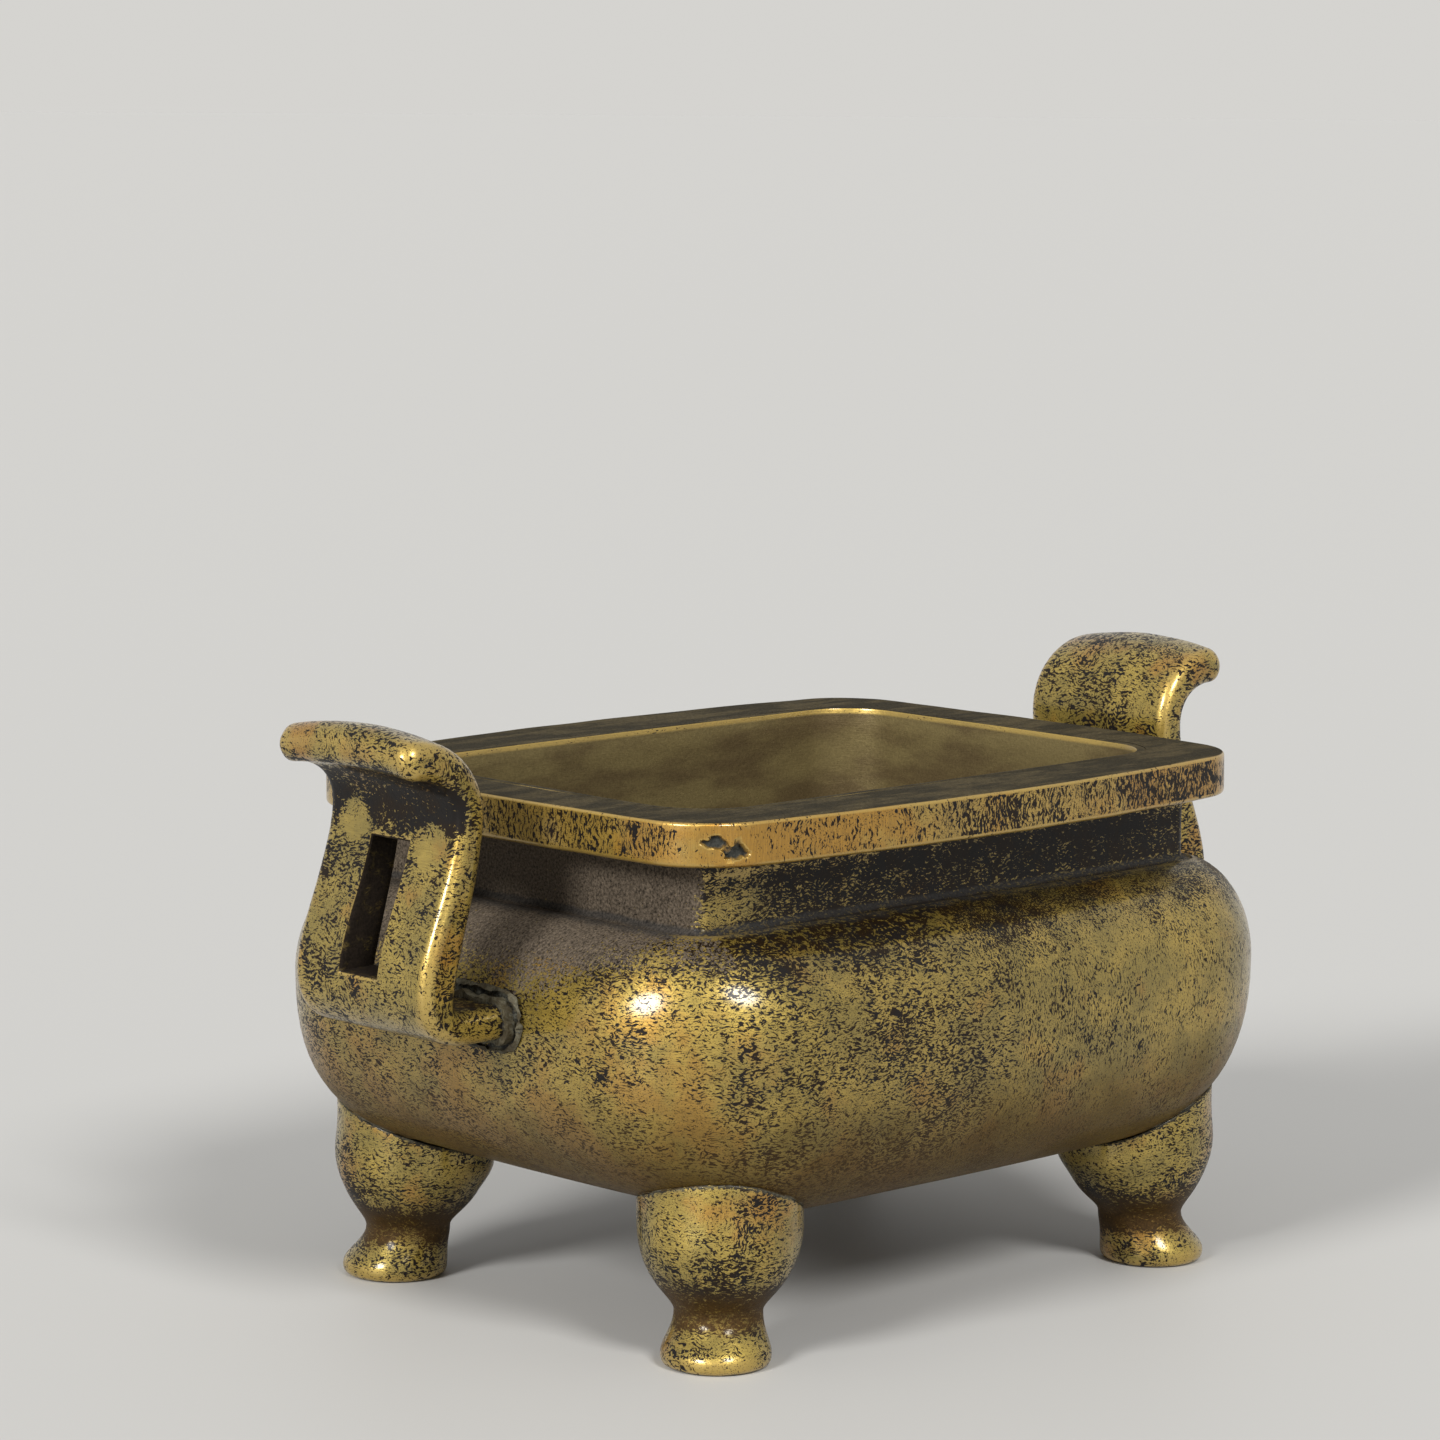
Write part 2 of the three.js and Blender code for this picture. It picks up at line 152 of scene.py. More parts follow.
EAR_WIDTH = 29.4
EAR_TAB = BELLY_WIDEST + 1.1
EAR_FOOT_REACH = 12.1
EAR_FOOT_RISE = 8
EAR_WAIST_REACH = 6.5
EAR_WAIST_RISE = 29.5
EAR_TIP_REACH = 18.8
EAR_TOP_RISE = 40.7
EAR_THICKNESS = [(0, 5), (0.2, 5), (0.34, 6.5), (0.72, 5.1), (1, 5.4)]  # by share of the length
# How the ear's foot, plate and crest bend, as shares of their spans
EAR_FOOT_TURN = (0.05, 0.18, 0.62)
EAR_PLATE_BEND = (0.2, 0.25, 0.3)
EAR_CREST_BEND = (0.6, 0.45)
EAR_EDGE = 1.9
EAR_CREST_CROWN = 1.6
SLOT_HALF_WIDTH = 4.05
SLOT_LOW = EAR_TAB + 6.8
SLOT_HIGH = SLOT_LOW + 18.6
SLOT_CHAMFER = 0.4

SOLDER_REACH = 2.3
SOLDER_DEPTH = 1.7
SOLDER_EDGE = 0.2

SHARP_ANGLE = math.radians(38)


# Mesh making

def smoothstep(value, low, high):
    share = min(1, max(0, (value - low) / (high - low)))
    return share * share * (3 - 2 * share)


def add_ring(bm, number, half_x, half_y, corner, bow_x=0, bow_y=0, corner_steps=14, side_steps=12):
    """Adds a closed ring of edges in the XY plane: a rectangle with round corners and bowed sides.

    Works in millimetres, and returns the ring's vertices. Until it is placed, a ring's
    vertices hold no number.
    """
    core_x, core_y = half_x - bow_x, half_y - bow_y
    made = bmesh.ops.create_grid(bm, x_segments=1, y_segments=1, size=1)
    bmesh.ops.scale(bm, verts=made["verts"], vec=(core_x, core_y, 1))
    bmesh.ops.bevel(
        bm, geom=made["verts"], offset=min(corner, core_x - 0.1, core_y - 0.1), offset_type="OFFSET",
        segments=corner_steps, profile=0.5, affect="VERTICES", material=-1,
    )
    fresh = [v for v in bm.verts if v[number] == 0]
    edges = {e for v in fresh for e in v.link_edges}
    flat = 1e-5
    sides = []
    for edge in edges:
        run = edge.verts[0].co - edge.verts[1].co
        if abs(run.x) < flat or abs(run.y) < flat:
            sides.append(edge)
    bmesh.ops.subdivide_edges(bm, edges=sides, cuts=side_steps - 1)
    fresh = [v for v in bm.verts if v[number] == 0]
    faces = list({f for v in fresh for f in v.link_faces})
    bmesh.ops.delete(bm, geom=faces, context="FACES_ONLY")
    for v in fresh:
        x, y = v.co.x, v.co.y
        v.co.x = x * (1 + bow_x / core_x * (1 - (y / core_y) ** 2))
        v.co.y = y * (1 + bow_y / core_y * (1 - (x / core_x) ** 2))
    return fresh


def loft(sections, corner_steps=14, side_steps=12, closed=False):
    """Skins a stack of rings, each given as (matrix, ring values), and caps an open stack."""
    bm = bmesh.new()
    number = bm.verts.layers.int.new("ring")
    for count, (matrix, values) in enumerate(sections):
        ring = add_ring(bm, number, *values, corner_steps=corner_steps, side_steps=side_steps)
        bmesh.ops.transform(bm, matrix=matrix, verts=ring)
        for v in ring:
            v[number] = count + 1
    rings = [[] for _ in sections]
    for edge in bm.edges:
        rings[edge.verts[0][number] - 1].append(edge)
    pairs = list(zip(rings, rings[1:]))
    if closed:
        pairs.append((rings[-1], rings[0]))
    for lower, upper in pairs:
        bmesh.ops.bridge_loops(bm, edges=lower + upper)
    if not closed:
        for ring in (rings[0], rings[-1]):
            bmesh.ops.edgeloop_fill(bm, edges=ring)
    bm.verts.layers.int.remove(number)
    bmesh.ops.recalc_face_normals(bm, faces=bm.faces)
    return bm


def at_height(z):
    return Matrix.Translation((0, 0, z))


def quarter_curve(steps, fullness=2):
    """A quarter ellipse or superellipse as (across, up) shares, from its widest point to its top."""
    shares = []
    for step in range(steps + 1):
        angle = step / steps * math.pi / 2
        across = max(0, math.cos(angle)) ** (2 / fullness)
        shares.append((across, math.sin(angle) ** (2 / fullness)))
    return shares


def uneven(bm, depth, size, seed):
    """Hand-finished unevenness: lets vertices in along their normals by a slow noise."""
    bm.normal_update()
    shift = Vector((seed, seed * 1.7, seed * 0.6))
    for v in bm.verts:
        v.co += v.normal * depth * (noise.noise(v.co / size + shift) - 0.6) / 1.6


def fit_box(bm, low, high):
    """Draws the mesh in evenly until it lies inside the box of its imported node."""
    for axis in range(3):
        start = min(v.co[axis] for v in bm.verts)
        end = max(v.co[axis] for v in bm.verts)
        new_start, new_end = max(start, low[axis]), min(end, high[axis])
        scale = (new_end - new_start) / (end - start)
        for v in bm.verts:
            v.co[axis] = new_start + (v.co[axis] - start) * scale


def add_mesh(bm, name, material):
    mesh = bpy.data.meshes.new(name)
    bm.to_mesh(mesh)
    bm.free()
    mesh.materials.append(material)
    return add_object(name, mesh)


def finish_piece(bm, name, material, node):
    """Turns the bmesh, in millimetres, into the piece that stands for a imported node."""
    bmesh.ops.remove_doubles(bm, verts=bm.verts, dist=1e-4)
    bmesh.ops.recalc_face_normals(bm, faces=bm.faces)
    bmesh.ops.scale(bm, verts=bm.verts, vec=(MM, MM, MM))
    fit_box(bm, *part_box(node))
    piece = add_mesh(bm, name, material)
    piece.data.shade_smooth()
    piece.data.set_sharp_from_angle(angle=SHARP_ANGLE)
    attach(piece, "root")
    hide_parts(node)
    return piece


# Shader node groups

def new_group(name, inputs, outputs):
    group = bpy.data.node_groups.new(name, "ShaderNodeTree")
    for socket, kind, value in inputs:
        made = group.interface.new_socket(name=socket, in_out="INPUT", socket_type=f"NodeSocket{kind}")
        made.default_value = value
    for socket, kind in outputs:
        group.interface.new_socket(name=socket, in_out="OUTPUT", socket_type=f"NodeSocket{kind}")
    return group


class Nodes:
    """Short calls for building a node tree."""

    def __init__(self, tree):
        self.tree = tree

    def add(self, kind, inputs=None, **settings):
        """A node with its settings made and its inputs fed, by name or number."""
        node = self.tree.nodes.new(kind)
        for name, value in settings.items():
            setattr(node, name, value)
        for name, value in (inputs or {}).items():
            self.feed(node.inputs[name], value)
        return node

    def feed(self, socket, value):
        if isinstance(value, bpy.types.NodeSocket):
            self.tree.links.new(value, socket)
        else:
            socket.default_value = value

    def math(self, operation, a, b=0.5, c=0.0, clamp=False):
        values = {0: a, 1: b, 2: c}
        return self.add("ShaderNodeMath", values, operation=operation, use_clamp=clamp).outputs[0]

    def times(self, a, b):
        return self.math("MULTIPLY", a, b)

    def times_plus(self, a, b, c):
        """a times b, plus c."""
        return self.math("MULTIPLY_ADD", a, b, c)

    def vector(self, operation, a, b=(0, 0, 0), c=(0, 0, 0)):
        node = self.add("ShaderNodeVectorMath", {0: a, 1: b, 2: c}, operation=operation)
        return node.outputs["Value" if operation == "DISTANCE" else "Vector"]

    def parts(self, vector):
        return tuple(self.add("ShaderNodeSeparateXYZ", {0: vector}).outputs)

    def threefold(self, value):
        """A vector or colour with the value in all three places."""
        return self.add("ShaderNodeCombineXYZ", {0: value, 1: value, 2: value}).outputs[0]

    def range(self, value, low, high, to_low=0.0, to_high=1.0, smooth=True):
        values = {
            "Value": value, "From Min": low, "From Max": high, "To Min": to_low, "To Max": to_high,
        }
        kind = "SMOOTHSTEP" if smooth else "LINEAR"
        return self.add("ShaderNodeMapRange", values, interpolation_type=kind).outputs["Result"]

    def noise(self, vector, scale, detail=3.0, roughness=0.5, output="Fac"):
        values = {"Vector": vector, "Scale": scale, "Detail": detail, "Roughness": roughness}
        return self.add("ShaderNodeTexNoise", values).outputs[output]

    def mapping(self, vector, scale=(1, 1, 1), rotation=(0, 0, 0), location=(0, 0, 0)):
        values = {"Vector": vector, "Scale": scale, "Rotation": rotation, "Location": location}
        return self.add("ShaderNodeMapping", values).outputs[0]

    def mix(self, factor, a, b, blend="MIX"):
        values = {"Factor": factor, 6: a, 7: b}
        return self.add("ShaderNodeMix", values, data_type="RGBA", blend_type=blend).outputs[2]

    def blend(self, factor, a, b):
        values = {"Factor": factor, 2: a, 3: b}
        return self.add("ShaderNodeMix", values, data_type="FLOAT").outputs[0]

    def attribute(self, name):
        return self.add("ShaderNodeAttribute", attribute_name=name).outputs["Fac"]

    def place(self):
        """Where a point lies on the burner, in millimetres."""
        coords = self.add("ShaderNodeTexCoord")
        return self.vector("MULTIPLY", coords.outputs["Object"], (1 / MM, 1 / MM, 1 / MM))

    def group(self, group, **values):
        return self.add("ShaderNodeGroup", values, node_tree=group)


def make_fleck_group():
    """Dark patina left as short strokes and specks between the marks of the polishing.

    Position is in millimetres, Darkness is about the share of the surface that the
    strokes cover, and Steep turns them from level to upright.
    """
    group = new_group(
        "patina flecks",
        [
            ("Position", "Vector", (0, 0, 0)), ("Darkness", "Float", 0.3),
            ("Steep", "Float", 0.5), ("Size", "Float", 1.0), ("Patchy", "Float", 0.4),
        ],
        [("Mask", "Float"), ("Halo", "Float"), ("Turn", "Float")],
    )
    n = Nodes(group)
    given = n.add("NodeGroupInput").outputs
    darkness, patchy = given["Darkness"], given["Patchy"]
    place = n.vector("DIVIDE", given["Position"], n.threefold(given["Size"]))
    drift = n.noise(place, 0.3, 2, output="Color")
    bent = n.vector("MULTIPLY_ADD", drift, (2.4, 2.4, 2.4), place)
    level = n.noise(n.mapping(bent, (0.7, 0.7, 1.8), (0.5, 0.25, 0)), 1.7, 2, 0.6)
    steep = n.noise(n.mapping(bent, (1.8, 1.8, 0.65), (-0.16, 0.3, 0)), 1.7, 2, 0.6)
    turn = n.range(n.math("ADD", given["Steep"], n.noise(place, 0.12, 2)), 0.86, 1.14)
    strokes = n.blend(turn, level, steep)
    clusters = n.noise(place, 0.42, 3, 0.65)
    patches = n.noise(place, 0.075, 3, 0.6)
    value = n.times_plus(clusters, 0.3, strokes)
    value = n.times_plus(patches, patchy, value)
    middle = n.times_plus(patchy, 0.5, 0.65)
    spread = n.range(darkness, 0, 1, 0.18, -0.18, smooth=False)
    over = n.math("SUBTRACT", value, n.math("ADD", middle, spread))
    specks = n.noise(n.mapping(bent, (1, 1, 1.5), (0.3, 0, 0.4)), 3.6, 1, 0.6)
    fine = n.math("SUBTRACT", specks, n.range(darkness, 0, 1, 0.7, 0.46, smooth=False))
    mask = n.math("MAXIMUM", n.range(over, -0.01, 0.012), n.range(fine, -0.02, 0.03, 0, 0.8))
    n.add("NodeGroupOutput", {"Mask": mask, "Halo": n.range(over, -0.07, 0.01), "Turn": turn})
    return group


def make_tint_group():
    """Slow changes of colour in brass: khaki, yellow and orange areas under fine brushing."""
    group = new_group(
        "brass tint",
        [
            ("Position", "Vector", (0, 0, 0)),
            ("Khaki", "Color", (0.265, 0.2, 0.046, 1)),
            ("Yellow", "Color", (0.4, 0.288, 0.06, 1)),
            ("Orange", "Color", (0.37, 0.185, 0.028, 1)),
            ("Warmth", "Float", 0.2), ("Turn", "Float", 0.5),
        ],
        [("Color", "Color"), ("Brushing", "Float")],
    )
    n = Nodes(group)
    given = n.add("NodeGroupInput").outputs
    place = given["Position"]
    slow = n.range(n.noise(place, 0.11, 3, 0.6), 0.36, 0.64)
    base = n.mix(slow, given["Khaki"], given["Yellow"])
    spots = n.noise(n.mapping(place, location=(31, 7, 12)), 0.09, 4, 0.62)
    warm = n.range(n.math("ADD", spots, given["Warmth"]), 0.72, 0.92)
    base = n.mix(n.times(warm, 0.85), base, given["Orange"])
    level = n.noise(n.mapping(place, (0.4, 0.4, 5.5), (0.3, 0.1, 0)), 1.3, 3, 0.65)
    upright = n.noise(n.mapping(place, (4.5, 4.5, 0.35), (-0.1, 0.15, 0)), 1.3, 3, 0.65)
    brushed = n.blend(given["Turn"], level, upright)
    value = n.range(brushed, 0.3, 0.7, 0.78, 1.22, smooth=False)
    bright = n.add("ShaderNodeHueSaturation", {"Color": base, "Value": value})
    n.add("NodeGroupOutput", {"Color": bright.outputs[0], "Brushing": brushed})
    return group


FLECKS = make_fleck_group()
TINT = make_tint_group()

DARK_BROWN = (0.011, 0.006, 0.0025, 1)
BLUE_BLACK = (0.0075, 0.006, 0.0055, 1)
HALO_BROWN = (0.09, 0.055, 0.016, 1)
WORN_BRASS = (0.5, 0.34, 0.09, 1)

WAX = 0.9
WAX_ON_FLECKS = 0.2
WAX_ROUGHNESS = 0.17
FLECK_ROUGHNESS = 0.5
HALO_STRENGTH = 0.3
WORN_STRENGTH = 0.6
ROUGHNESS_SPREAD = 0.16
BUMP_STRENGTH = 0.25
BUMP_HEIGHT = 0.3 * MM

# Roughness and metallic share of unwaxed areas
MATT = (0.8, 0.1)
STAINED = (0.6, 0.5)
SMOOTH = (0.42, 0.22)

# Places on the burner, in millimetres
PITS_MIDDLE = (-50, -43, 75.2)
NEAR_CORNER = (-48, -44, 76)
EAR_CLEAR_SPOTS = ((-75, -7.6, 74.8), (-75, 9.5, 77))


# Brass finishes

def brass_material(
        name, darkness, tint, dull, steep=0.5, roughness=0.4, size=1.0, patchy=0.38, wear=0.6,
        patina_and_shade_in_hollows=0.5, metal=0.65):
    """Brass under a thin wax, with dark flecks that are denser in hollows, as patina and as painted
    shade, and wear off on edges.

    darkness and steep are numbers or functions of the nodes and the place. wear is how much clearer
    edges are, and the argument after it how much darker hollows are, as patina and as painted shade.
    dull holds functions that each give a mask and a colour for an unwaxed area, with its roughness and
    metallic share.
    """
    material = bpy.data.materials.new(name)
    material.use_nodes = True
    tree = material.node_tree
    tree.nodes.clear()
    n = Nodes(tree)
    place = n.place()
    # Closed-in places get denser dark flecks: partly patina in hollows, partly painted shade.
    hollow = n.range(n.attribute("hollow"), 0.35, 0.95, smooth=False)
    edge = n.attribute("edge")
    amount = darkness(n, place) if callable(darkness) else darkness
    amount = n.times_plus(edge, -wear, n.times_plus(hollow, patina_and_shade_in_hollows, amount))
    amount = n.math("MINIMUM", n.times_plus(n.attribute("seam"), 0.3, amount), 0.97)
    upright = steep(n, place) if callable(steep) else steep
    flecks = n.group(
        FLECKS, Position=place, Darkness=amount, Steep=upright, Size=size, Patchy=patchy,
    )
    mask = flecks.outputs["Mask"]
    tint = {key: value(n, place) if callable(value) else value for key, value in tint.items()}
    tinted = n.group(TINT, Position=place, Turn=flecks.outputs["Turn"], **tint)
    base = n.mix(n.times(edge, WORN_STRENGTH), tinted.outputs["Color"], WORN_BRASS)
    stain = n.mix(n.times(flecks.outputs["Halo"], HALO_STRENGTH), base, HALO_BROWN)
    dark = n.mix(n.range(n.noise(place, 0.3, 2), 0.4, 0.6), DARK_BROWN, BLUE_BLACK)
    colour = n.mix(mask, stain, dark)
    metallic = n.blend(mask, metal, 0.0)
    wax = n.blend(mask, WAX, WAX_ON_FLECKS)
    mottle = n.times_plus(n.noise(place, 0.8, 4), ROUGHNESS_SPREAD, -ROUGHNESS_SPREAD / 2)
    rough = n.math("ADD", mottle, roughness)
    rough = n.blend(mask, rough, FLECK_ROUGHNESS)
    for area, (dull_rough, dull_metal) in dull.items():
        cover, dull_colour = area(n, place)
        colour = n.mix(cover, colour, dull_colour)
        metallic = n.blend(cover, metallic, dull_metal)
        rough = n.blend(cover, rough, dull_rough)
        wax = n.blend(cover, wax, 0.0)
    relief = n.times_plus(mask, -0.7, n.noise(place, 1.3, 4, 0.6))
    relief = n.times_plus(tinted.outputs["Brushing"], 0.6, relief)
    bump = n.add("ShaderNodeBump", {
        "Strength": BUMP_STRENGTH, "Distance": BUMP_HEIGHT, "Height": relief,
    })
    shader = n.add("ShaderNodeBsdfPrincipled", {
        "Base Color": colour, "Metallic": metallic, "Roughness": rough, "Coat Weight": wax,
        "Coat Roughness": WAX_ROUGHNESS, "Specular IOR Level": 0.1, "Normal": bump.outputs[0],
    })
    n.add("ShaderNodeOutputMaterial", {"Surface": shader.outputs[0]})
    return material


def grainy(n, place, colour, strength):
    """The colour broken up by fine grain."""
    grain = n.range(n.noise(place, 2.6, 3, 0.7), 0.3, 0.7, 1 - strength, 1 + strength, smooth=False)
    return n.mix(1.0, colour, n.threefold(grain), "MULTIPLY")


def outside(n, cover):
    """The cover, kept off the inside of the bowl."""
    return n.times(cover, n.math("SUBTRACT", 1.0, n.attribute("inside"), clamp=True))


def ragged_height(n, place, scale, spread):
    """Height above the ground, made ragged by noise of the given scale and spread."""
    level = n.math("SUBTRACT", n.parts(place)[2], spread / 2)
    return n.times_plus(n.noise(place, scale, 3), spread, level)


def facing(n, axis):
    """How far the surface faces along an axis, from -1 to 1."""
    return n.parts(n.add("ShaderNodeTexCoord").outputs["Normal"])[axis]


def basin_darkness(n, place):
    """Clearer to the right of the belly, dense on the shoulder and neck, darkest under the rim as
    painted shadow, worn on the lip.
    """
    x, y, z = n.parts(place)
    amount = n.math("MINIMUM", n.range(x, -55, -35, 0.34, 0.42), n.range(x, -15, 25, 0.42, 0.24))
    shoulder = n.range(ragged_height(n, place, 0.12, 12), 54.5, 61)
    amount = n.times_plus(shoulder, n.range(x, -20, 10, 0.22, 0.34), amount)
    neck = n.range(z, NECK_BASE + 0.5, NECK_BASE + 1.3)
    gold_end = n.times(n.range(x, -38, -43), n.range(y, -35, -36.5))
    amount = n.times_plus(n.times(neck, n.range(x, -20, 40)), 0.2, amount)
    # Painted shadow under the rim: denser flecks on the top of the neck.
    under_rim = n.range(z, RIM_SEAT - 5.7, RIM_SEAT - 2.7)
    amount = n.times_plus(under_rim, 0.4, amount)
    amount = n.times_plus(n.times(gold_end, neck), -0.24, amount)
    lip = n.range(z, RIM_TOP - 1.4, RIM_TOP - 0.9)
    return n.times_plus(lip, -0.9, amount)


def basin_warmth(n, place):
    """Orange towards the underside and at the left end."""
    x, _, z = n.parts(place)
    return n.math("ADD", n.range(z, 46, 32, 0.17, 0.27), n.range(x, -52, -62, 0, 0.07))


def basin_steep(n, place):
    """Strokes run level round the left end and the neck, and turn upright along the right."""
    x, _, z = n.parts(place)
    turn = n.times_plus(n.noise(place, 0.05, 2), 60, x)
    return n.times(n.range(turn, 0, 36), n.range(z, 63, 61))


def low_stain_and_shade(n, place):
    """Brown under the belly, darker towards the bottom: partly a stain where it was seldom polished,
    partly painted shade.
    """
    cover = outside(n, n.range(ragged_height(n, place, 0.09, 12), 43, 25, 0, 0.85))
    return cover, grainy(n, place, (0.068, 0.038, 0.009, 1), 0.5)


def cast_skin_and_ear_shadow(n, place):
    """The sandy skin of the casting, left on the neck behind the ears, with the ears' painted shadow
    there.
    """
    x, y, _ = n.parts(place)
    ends = n.range(n.math("ABSOLUTE", x), 49, 51.5)
    lower_in_middle = n.range(n.math("ABSOLUTE", y), 37, 16, 0, 6)
    height = n.math("ADD", ragged_height(n, place, 0.12, 9), lower_in_middle)
    level = n.times(ends, n.range(height, 53.5, 66.5))
    fine = n.times(n.noise(place, 2.2, 3, 0.7), 2.6)
    cover = n.range(n.times_plus(level, 1.1, fine), 1.8, 2.0)
    return outside(n, cover), grainy(n, place, (0.09, 0.071, 0.052, 1), 0.9)


def groove_dirt_and_shade(n, place):
    """Dark grey in the groove at the foot of the neck: partly dirt, partly painted shade in the
    crease.
    """
    away = n.math("SUBTRACT", ragged_height(n, place, 0.25, 0.9), NECK_BASE + 0.05)
    line = n.range(n.math("ABSOLUTE", away), 0.8, 0.2, 0, 0.75)
    return outside(n, line), grainy(n, place, (0.035, 0.034, 0.033, 1), 0.5)


def bowl_inside(n, place):
    """The smooth dull metal inside the bowl, below the bright lip."""
    streaks = n.range(n.noise(n.mapping(place, (0.3, 0.3, 1)), 0.16, 4, 0.6), 0.36, 0.64)
    murky = n.mix(streaks, (0.165, 0.128, 0.055, 1), (0.1, 0.072, 0.034, 1))
    below = n.range(n.parts(place)[2], RIM_TOP - 0.6, RIM_TOP - 1.1)
    return n.times(n.attribute("inside"), below), grainy(n, place, murky, 0.18)


def rim_darkness(n, place):
    """Dense at the left end and to the right, thin between, and clear round the casting pits."""
    x = n.parts(place)[0]
    pits = n.vector("DISTANCE", place, PITS_MIDDLE)
    amount = n.math("MAXIMUM", n.range(x, -54, -58, 0, 0.44), n.range(x, -38, 10, 0.27, 0.47))
    return n.math("ADD", amount, n.range(pits, 5, 11, -0.3, 0))


def rim_warmth(n, place):
    """Orange at the near corner and towards the right, paler round the left end."""
    x, y, _ = n.parts(place)
    near = n.vector("DISTANCE", place, NEAR_CORNER)
    amount = n.math("MAXIMUM", n.range(near, 6, 48, 0.4, 0.27), n.range(x, 5, 45, 0.25, 0.38))
    return n.math("ADD", amount, n.range(y, -36, -20, 0, -0.14))


def rim_top(n, place):
    """The flat top of the rim and of the tongue, dull from ash."""
    high = n.range(n.parts(place)[2], RIM_TOP - 1.2, RIM_TOP - 0.6)
    streaks = n.range(n.noise(n.mapping(place, (0.3, 1, 1)), 0.3, 4, 0.6), 0.4, 0.62)
    colour = n.mix(streaks, (0.026, 0.021, 0.011, 1), (0.064, 0.05, 0.025, 1))
    return n.times(n.range(facing(n, 2), 0.75, 0.97), high), grainy(n, place, colour, 0.6)


def rim_pits(n, place):
    """Grey dirt in the casting pits."""
    return n.attribute("pit"), grainy(n, place, (0.04, 0.042, 0.038, 1), 0.5)


def in_slot(n, place, margin):
    """One inside the ears' slots, fading over the margin outside them."""
    _, y, z = n.parts(place)
    middle, half = (SLOT_LOW + SLOT_HIGH) / 2, (SLOT_HIGH - SLOT_LOW) / 2
    away = n.math("ABSOLUTE", n.math("SUBTRACT", z, middle))
    across = n.range(n.math("ABSOLUTE", y), SLOT_HALF_WIDTH + margin, SLOT_HALF_WIDTH + margin / 2)
    return n.times(across, n.range(away, half + margin, half + margin / 2))


def ear_darkness(n, place):
    """A patchy spread on the plate, thick under the scroll as patina and as the scroll's painted
    shadow, with clear spots near the slot.
    """
    outwards = n.times(facing(n, 0), n.math("SIGN", n.parts(place)[0]))
    height = ragged_height(n, place, 0.2, 5)
    # Painted shadow of the scroll, with denser patina, on the outer face below it.
    under_scroll = n.times(n.range(height, 73, 77.5), n.range(height, 86.5, 84))
    shaded = n.times(under_scroll, n.range(outwards, 0.25, 0.6))
    amount = n.times_plus(shaded, 0.42, 0.4)
    ragged = n.vector("MULTIPLY_ADD", n.noise(place, 0.5, 2, output="Color"), (2, 2, 2), place)
    for spot in EAR_CLEAR_SPOTS:
        amount = n.math("ADD", amount, n.range(n.vector("DISTANCE", ragged, spot), 4, 2.4, 0, -0.5))
    return amount


def slot_shade(n, place):
    """Nearly black on the walls of the slot: painted shade inside the narrow opening."""
    patches = n.range(n.noise(place, 0.5, 3), 0.3, 0.5, 0.85, 1)
    cover = n.times(in_slot(n, place, 0.32), patches)
    return cover, grainy(n, place, (0.014, 0.01, 0.007, 1), 0.5)


def foot_darkness(n, place):
    """Dark round the waist, clear on the base ring and below the joint."""
    height = ragged_height(n, place, 0.12, 6)
    waist = n.times(n.range(height, 4.5, 7), n.range(height, 14, 9))
    bowl = n.times(n.range(height, 7, 10), n.range(height, 18, 12))
    amount = n.times_plus(waist, 0.42, 0.35)
    return n.times_plus(bowl, 0.16, amount)


def foot_waist(n, place):
    """Brown stain round the waist of a foot."""
    height = ragged_height(n, place, 0.14, 6)
    cover = n.times(n.range(height, 3.6, 6.5), n.range(height, 14, 8.5, 0, 0.62))
    return cover, grainy(n, place, (0.085, 0.046, 0.012, 1), 0.45)


def foot_joint(n, place):
    """Grey patches of solder where a foot meets the belly."""
    patches = n.range(n.noise(place, 0.45, 3, 0.6), 0.5, 0.6)
    cover = n.times(n.attribute("seam"), n.times_plus(patches, 0.6, 0.3))
    return cover, grainy(n, place, (0.1, 0.094, 0.066, 1), 0.5)


def bead_solder(n, place):
    """Grey solder showing here and there along the joints of the feet."""
    cover = n.range(n.noise(place, 0.3, 3, 0.6), 0.48, 0.58, 0.15, 0.85)
    return cover, grainy(n, place, (0.085, 0.08, 0.06, 1), 0.6)


def solder_skin(n, place):
    """Solder that was never polished."""
    shade = n.range(n.noise(place, 0.7, 3), 0.4, 0.6)
    stain = n.mix(shade, (0.02, 0.02, 0.0185, 1), (0.06, 0.06, 0.048, 1))
    return 0.9, grainy(n, place, stain, 0.8)


BASIN_BRASS = brass_material(
    "basin_brass", basin_darkness, {
        "Yellow": (0.375, 0.264, 0.054, 1), "Khaki": (0.25, 0.185, 0.041, 1),
        "Orange": (0.33, 0.185, 0.032, 1), "Warmth": basin_warmth,
    }, steep=basin_steep, size=0.85, patchy=0.32, patina_and_shade_in_hollows=0.2,
    dull={
        low_stain_and_shade: STAINED, cast_skin_and_ear_shadow: MATT, groove_dirt_and_shade: MATT, bowl_inside: SMOOTH, rim_top: MATT,
    },
)
RIM_BRASS = brass_material(
    "rim_brass", rim_darkness, {
        "Yellow": (0.41, 0.268, 0.055, 1), "Khaki": (0.32, 0.207, 0.044, 1),
        "Orange": (0.36, 0.183, 0.02, 1), "Warmth": rim_warmth,
    }, steep=1.0, roughness=0.36, size=1.2, patchy=0.52, wear=0.9,
    dull={rim_top: MATT, rim_pits: MATT},
)
EAR_BRASS = brass_material(
    "ear_brass", ear_darkness, {"Warmth": 0.24}, steep=0.4, roughness=0.36, wear=0.15,
    dull={slot_shade: MATT},
)
FOOT_BRASS = brass_material(
    "foot_brass", foot_darkness, {"Warmth": 0.24}, steep=0.4, roughness=0.36, size=0.8,
    wear=0.12, dull={foot_waist: STAINED, foot_joint: MATT},
)
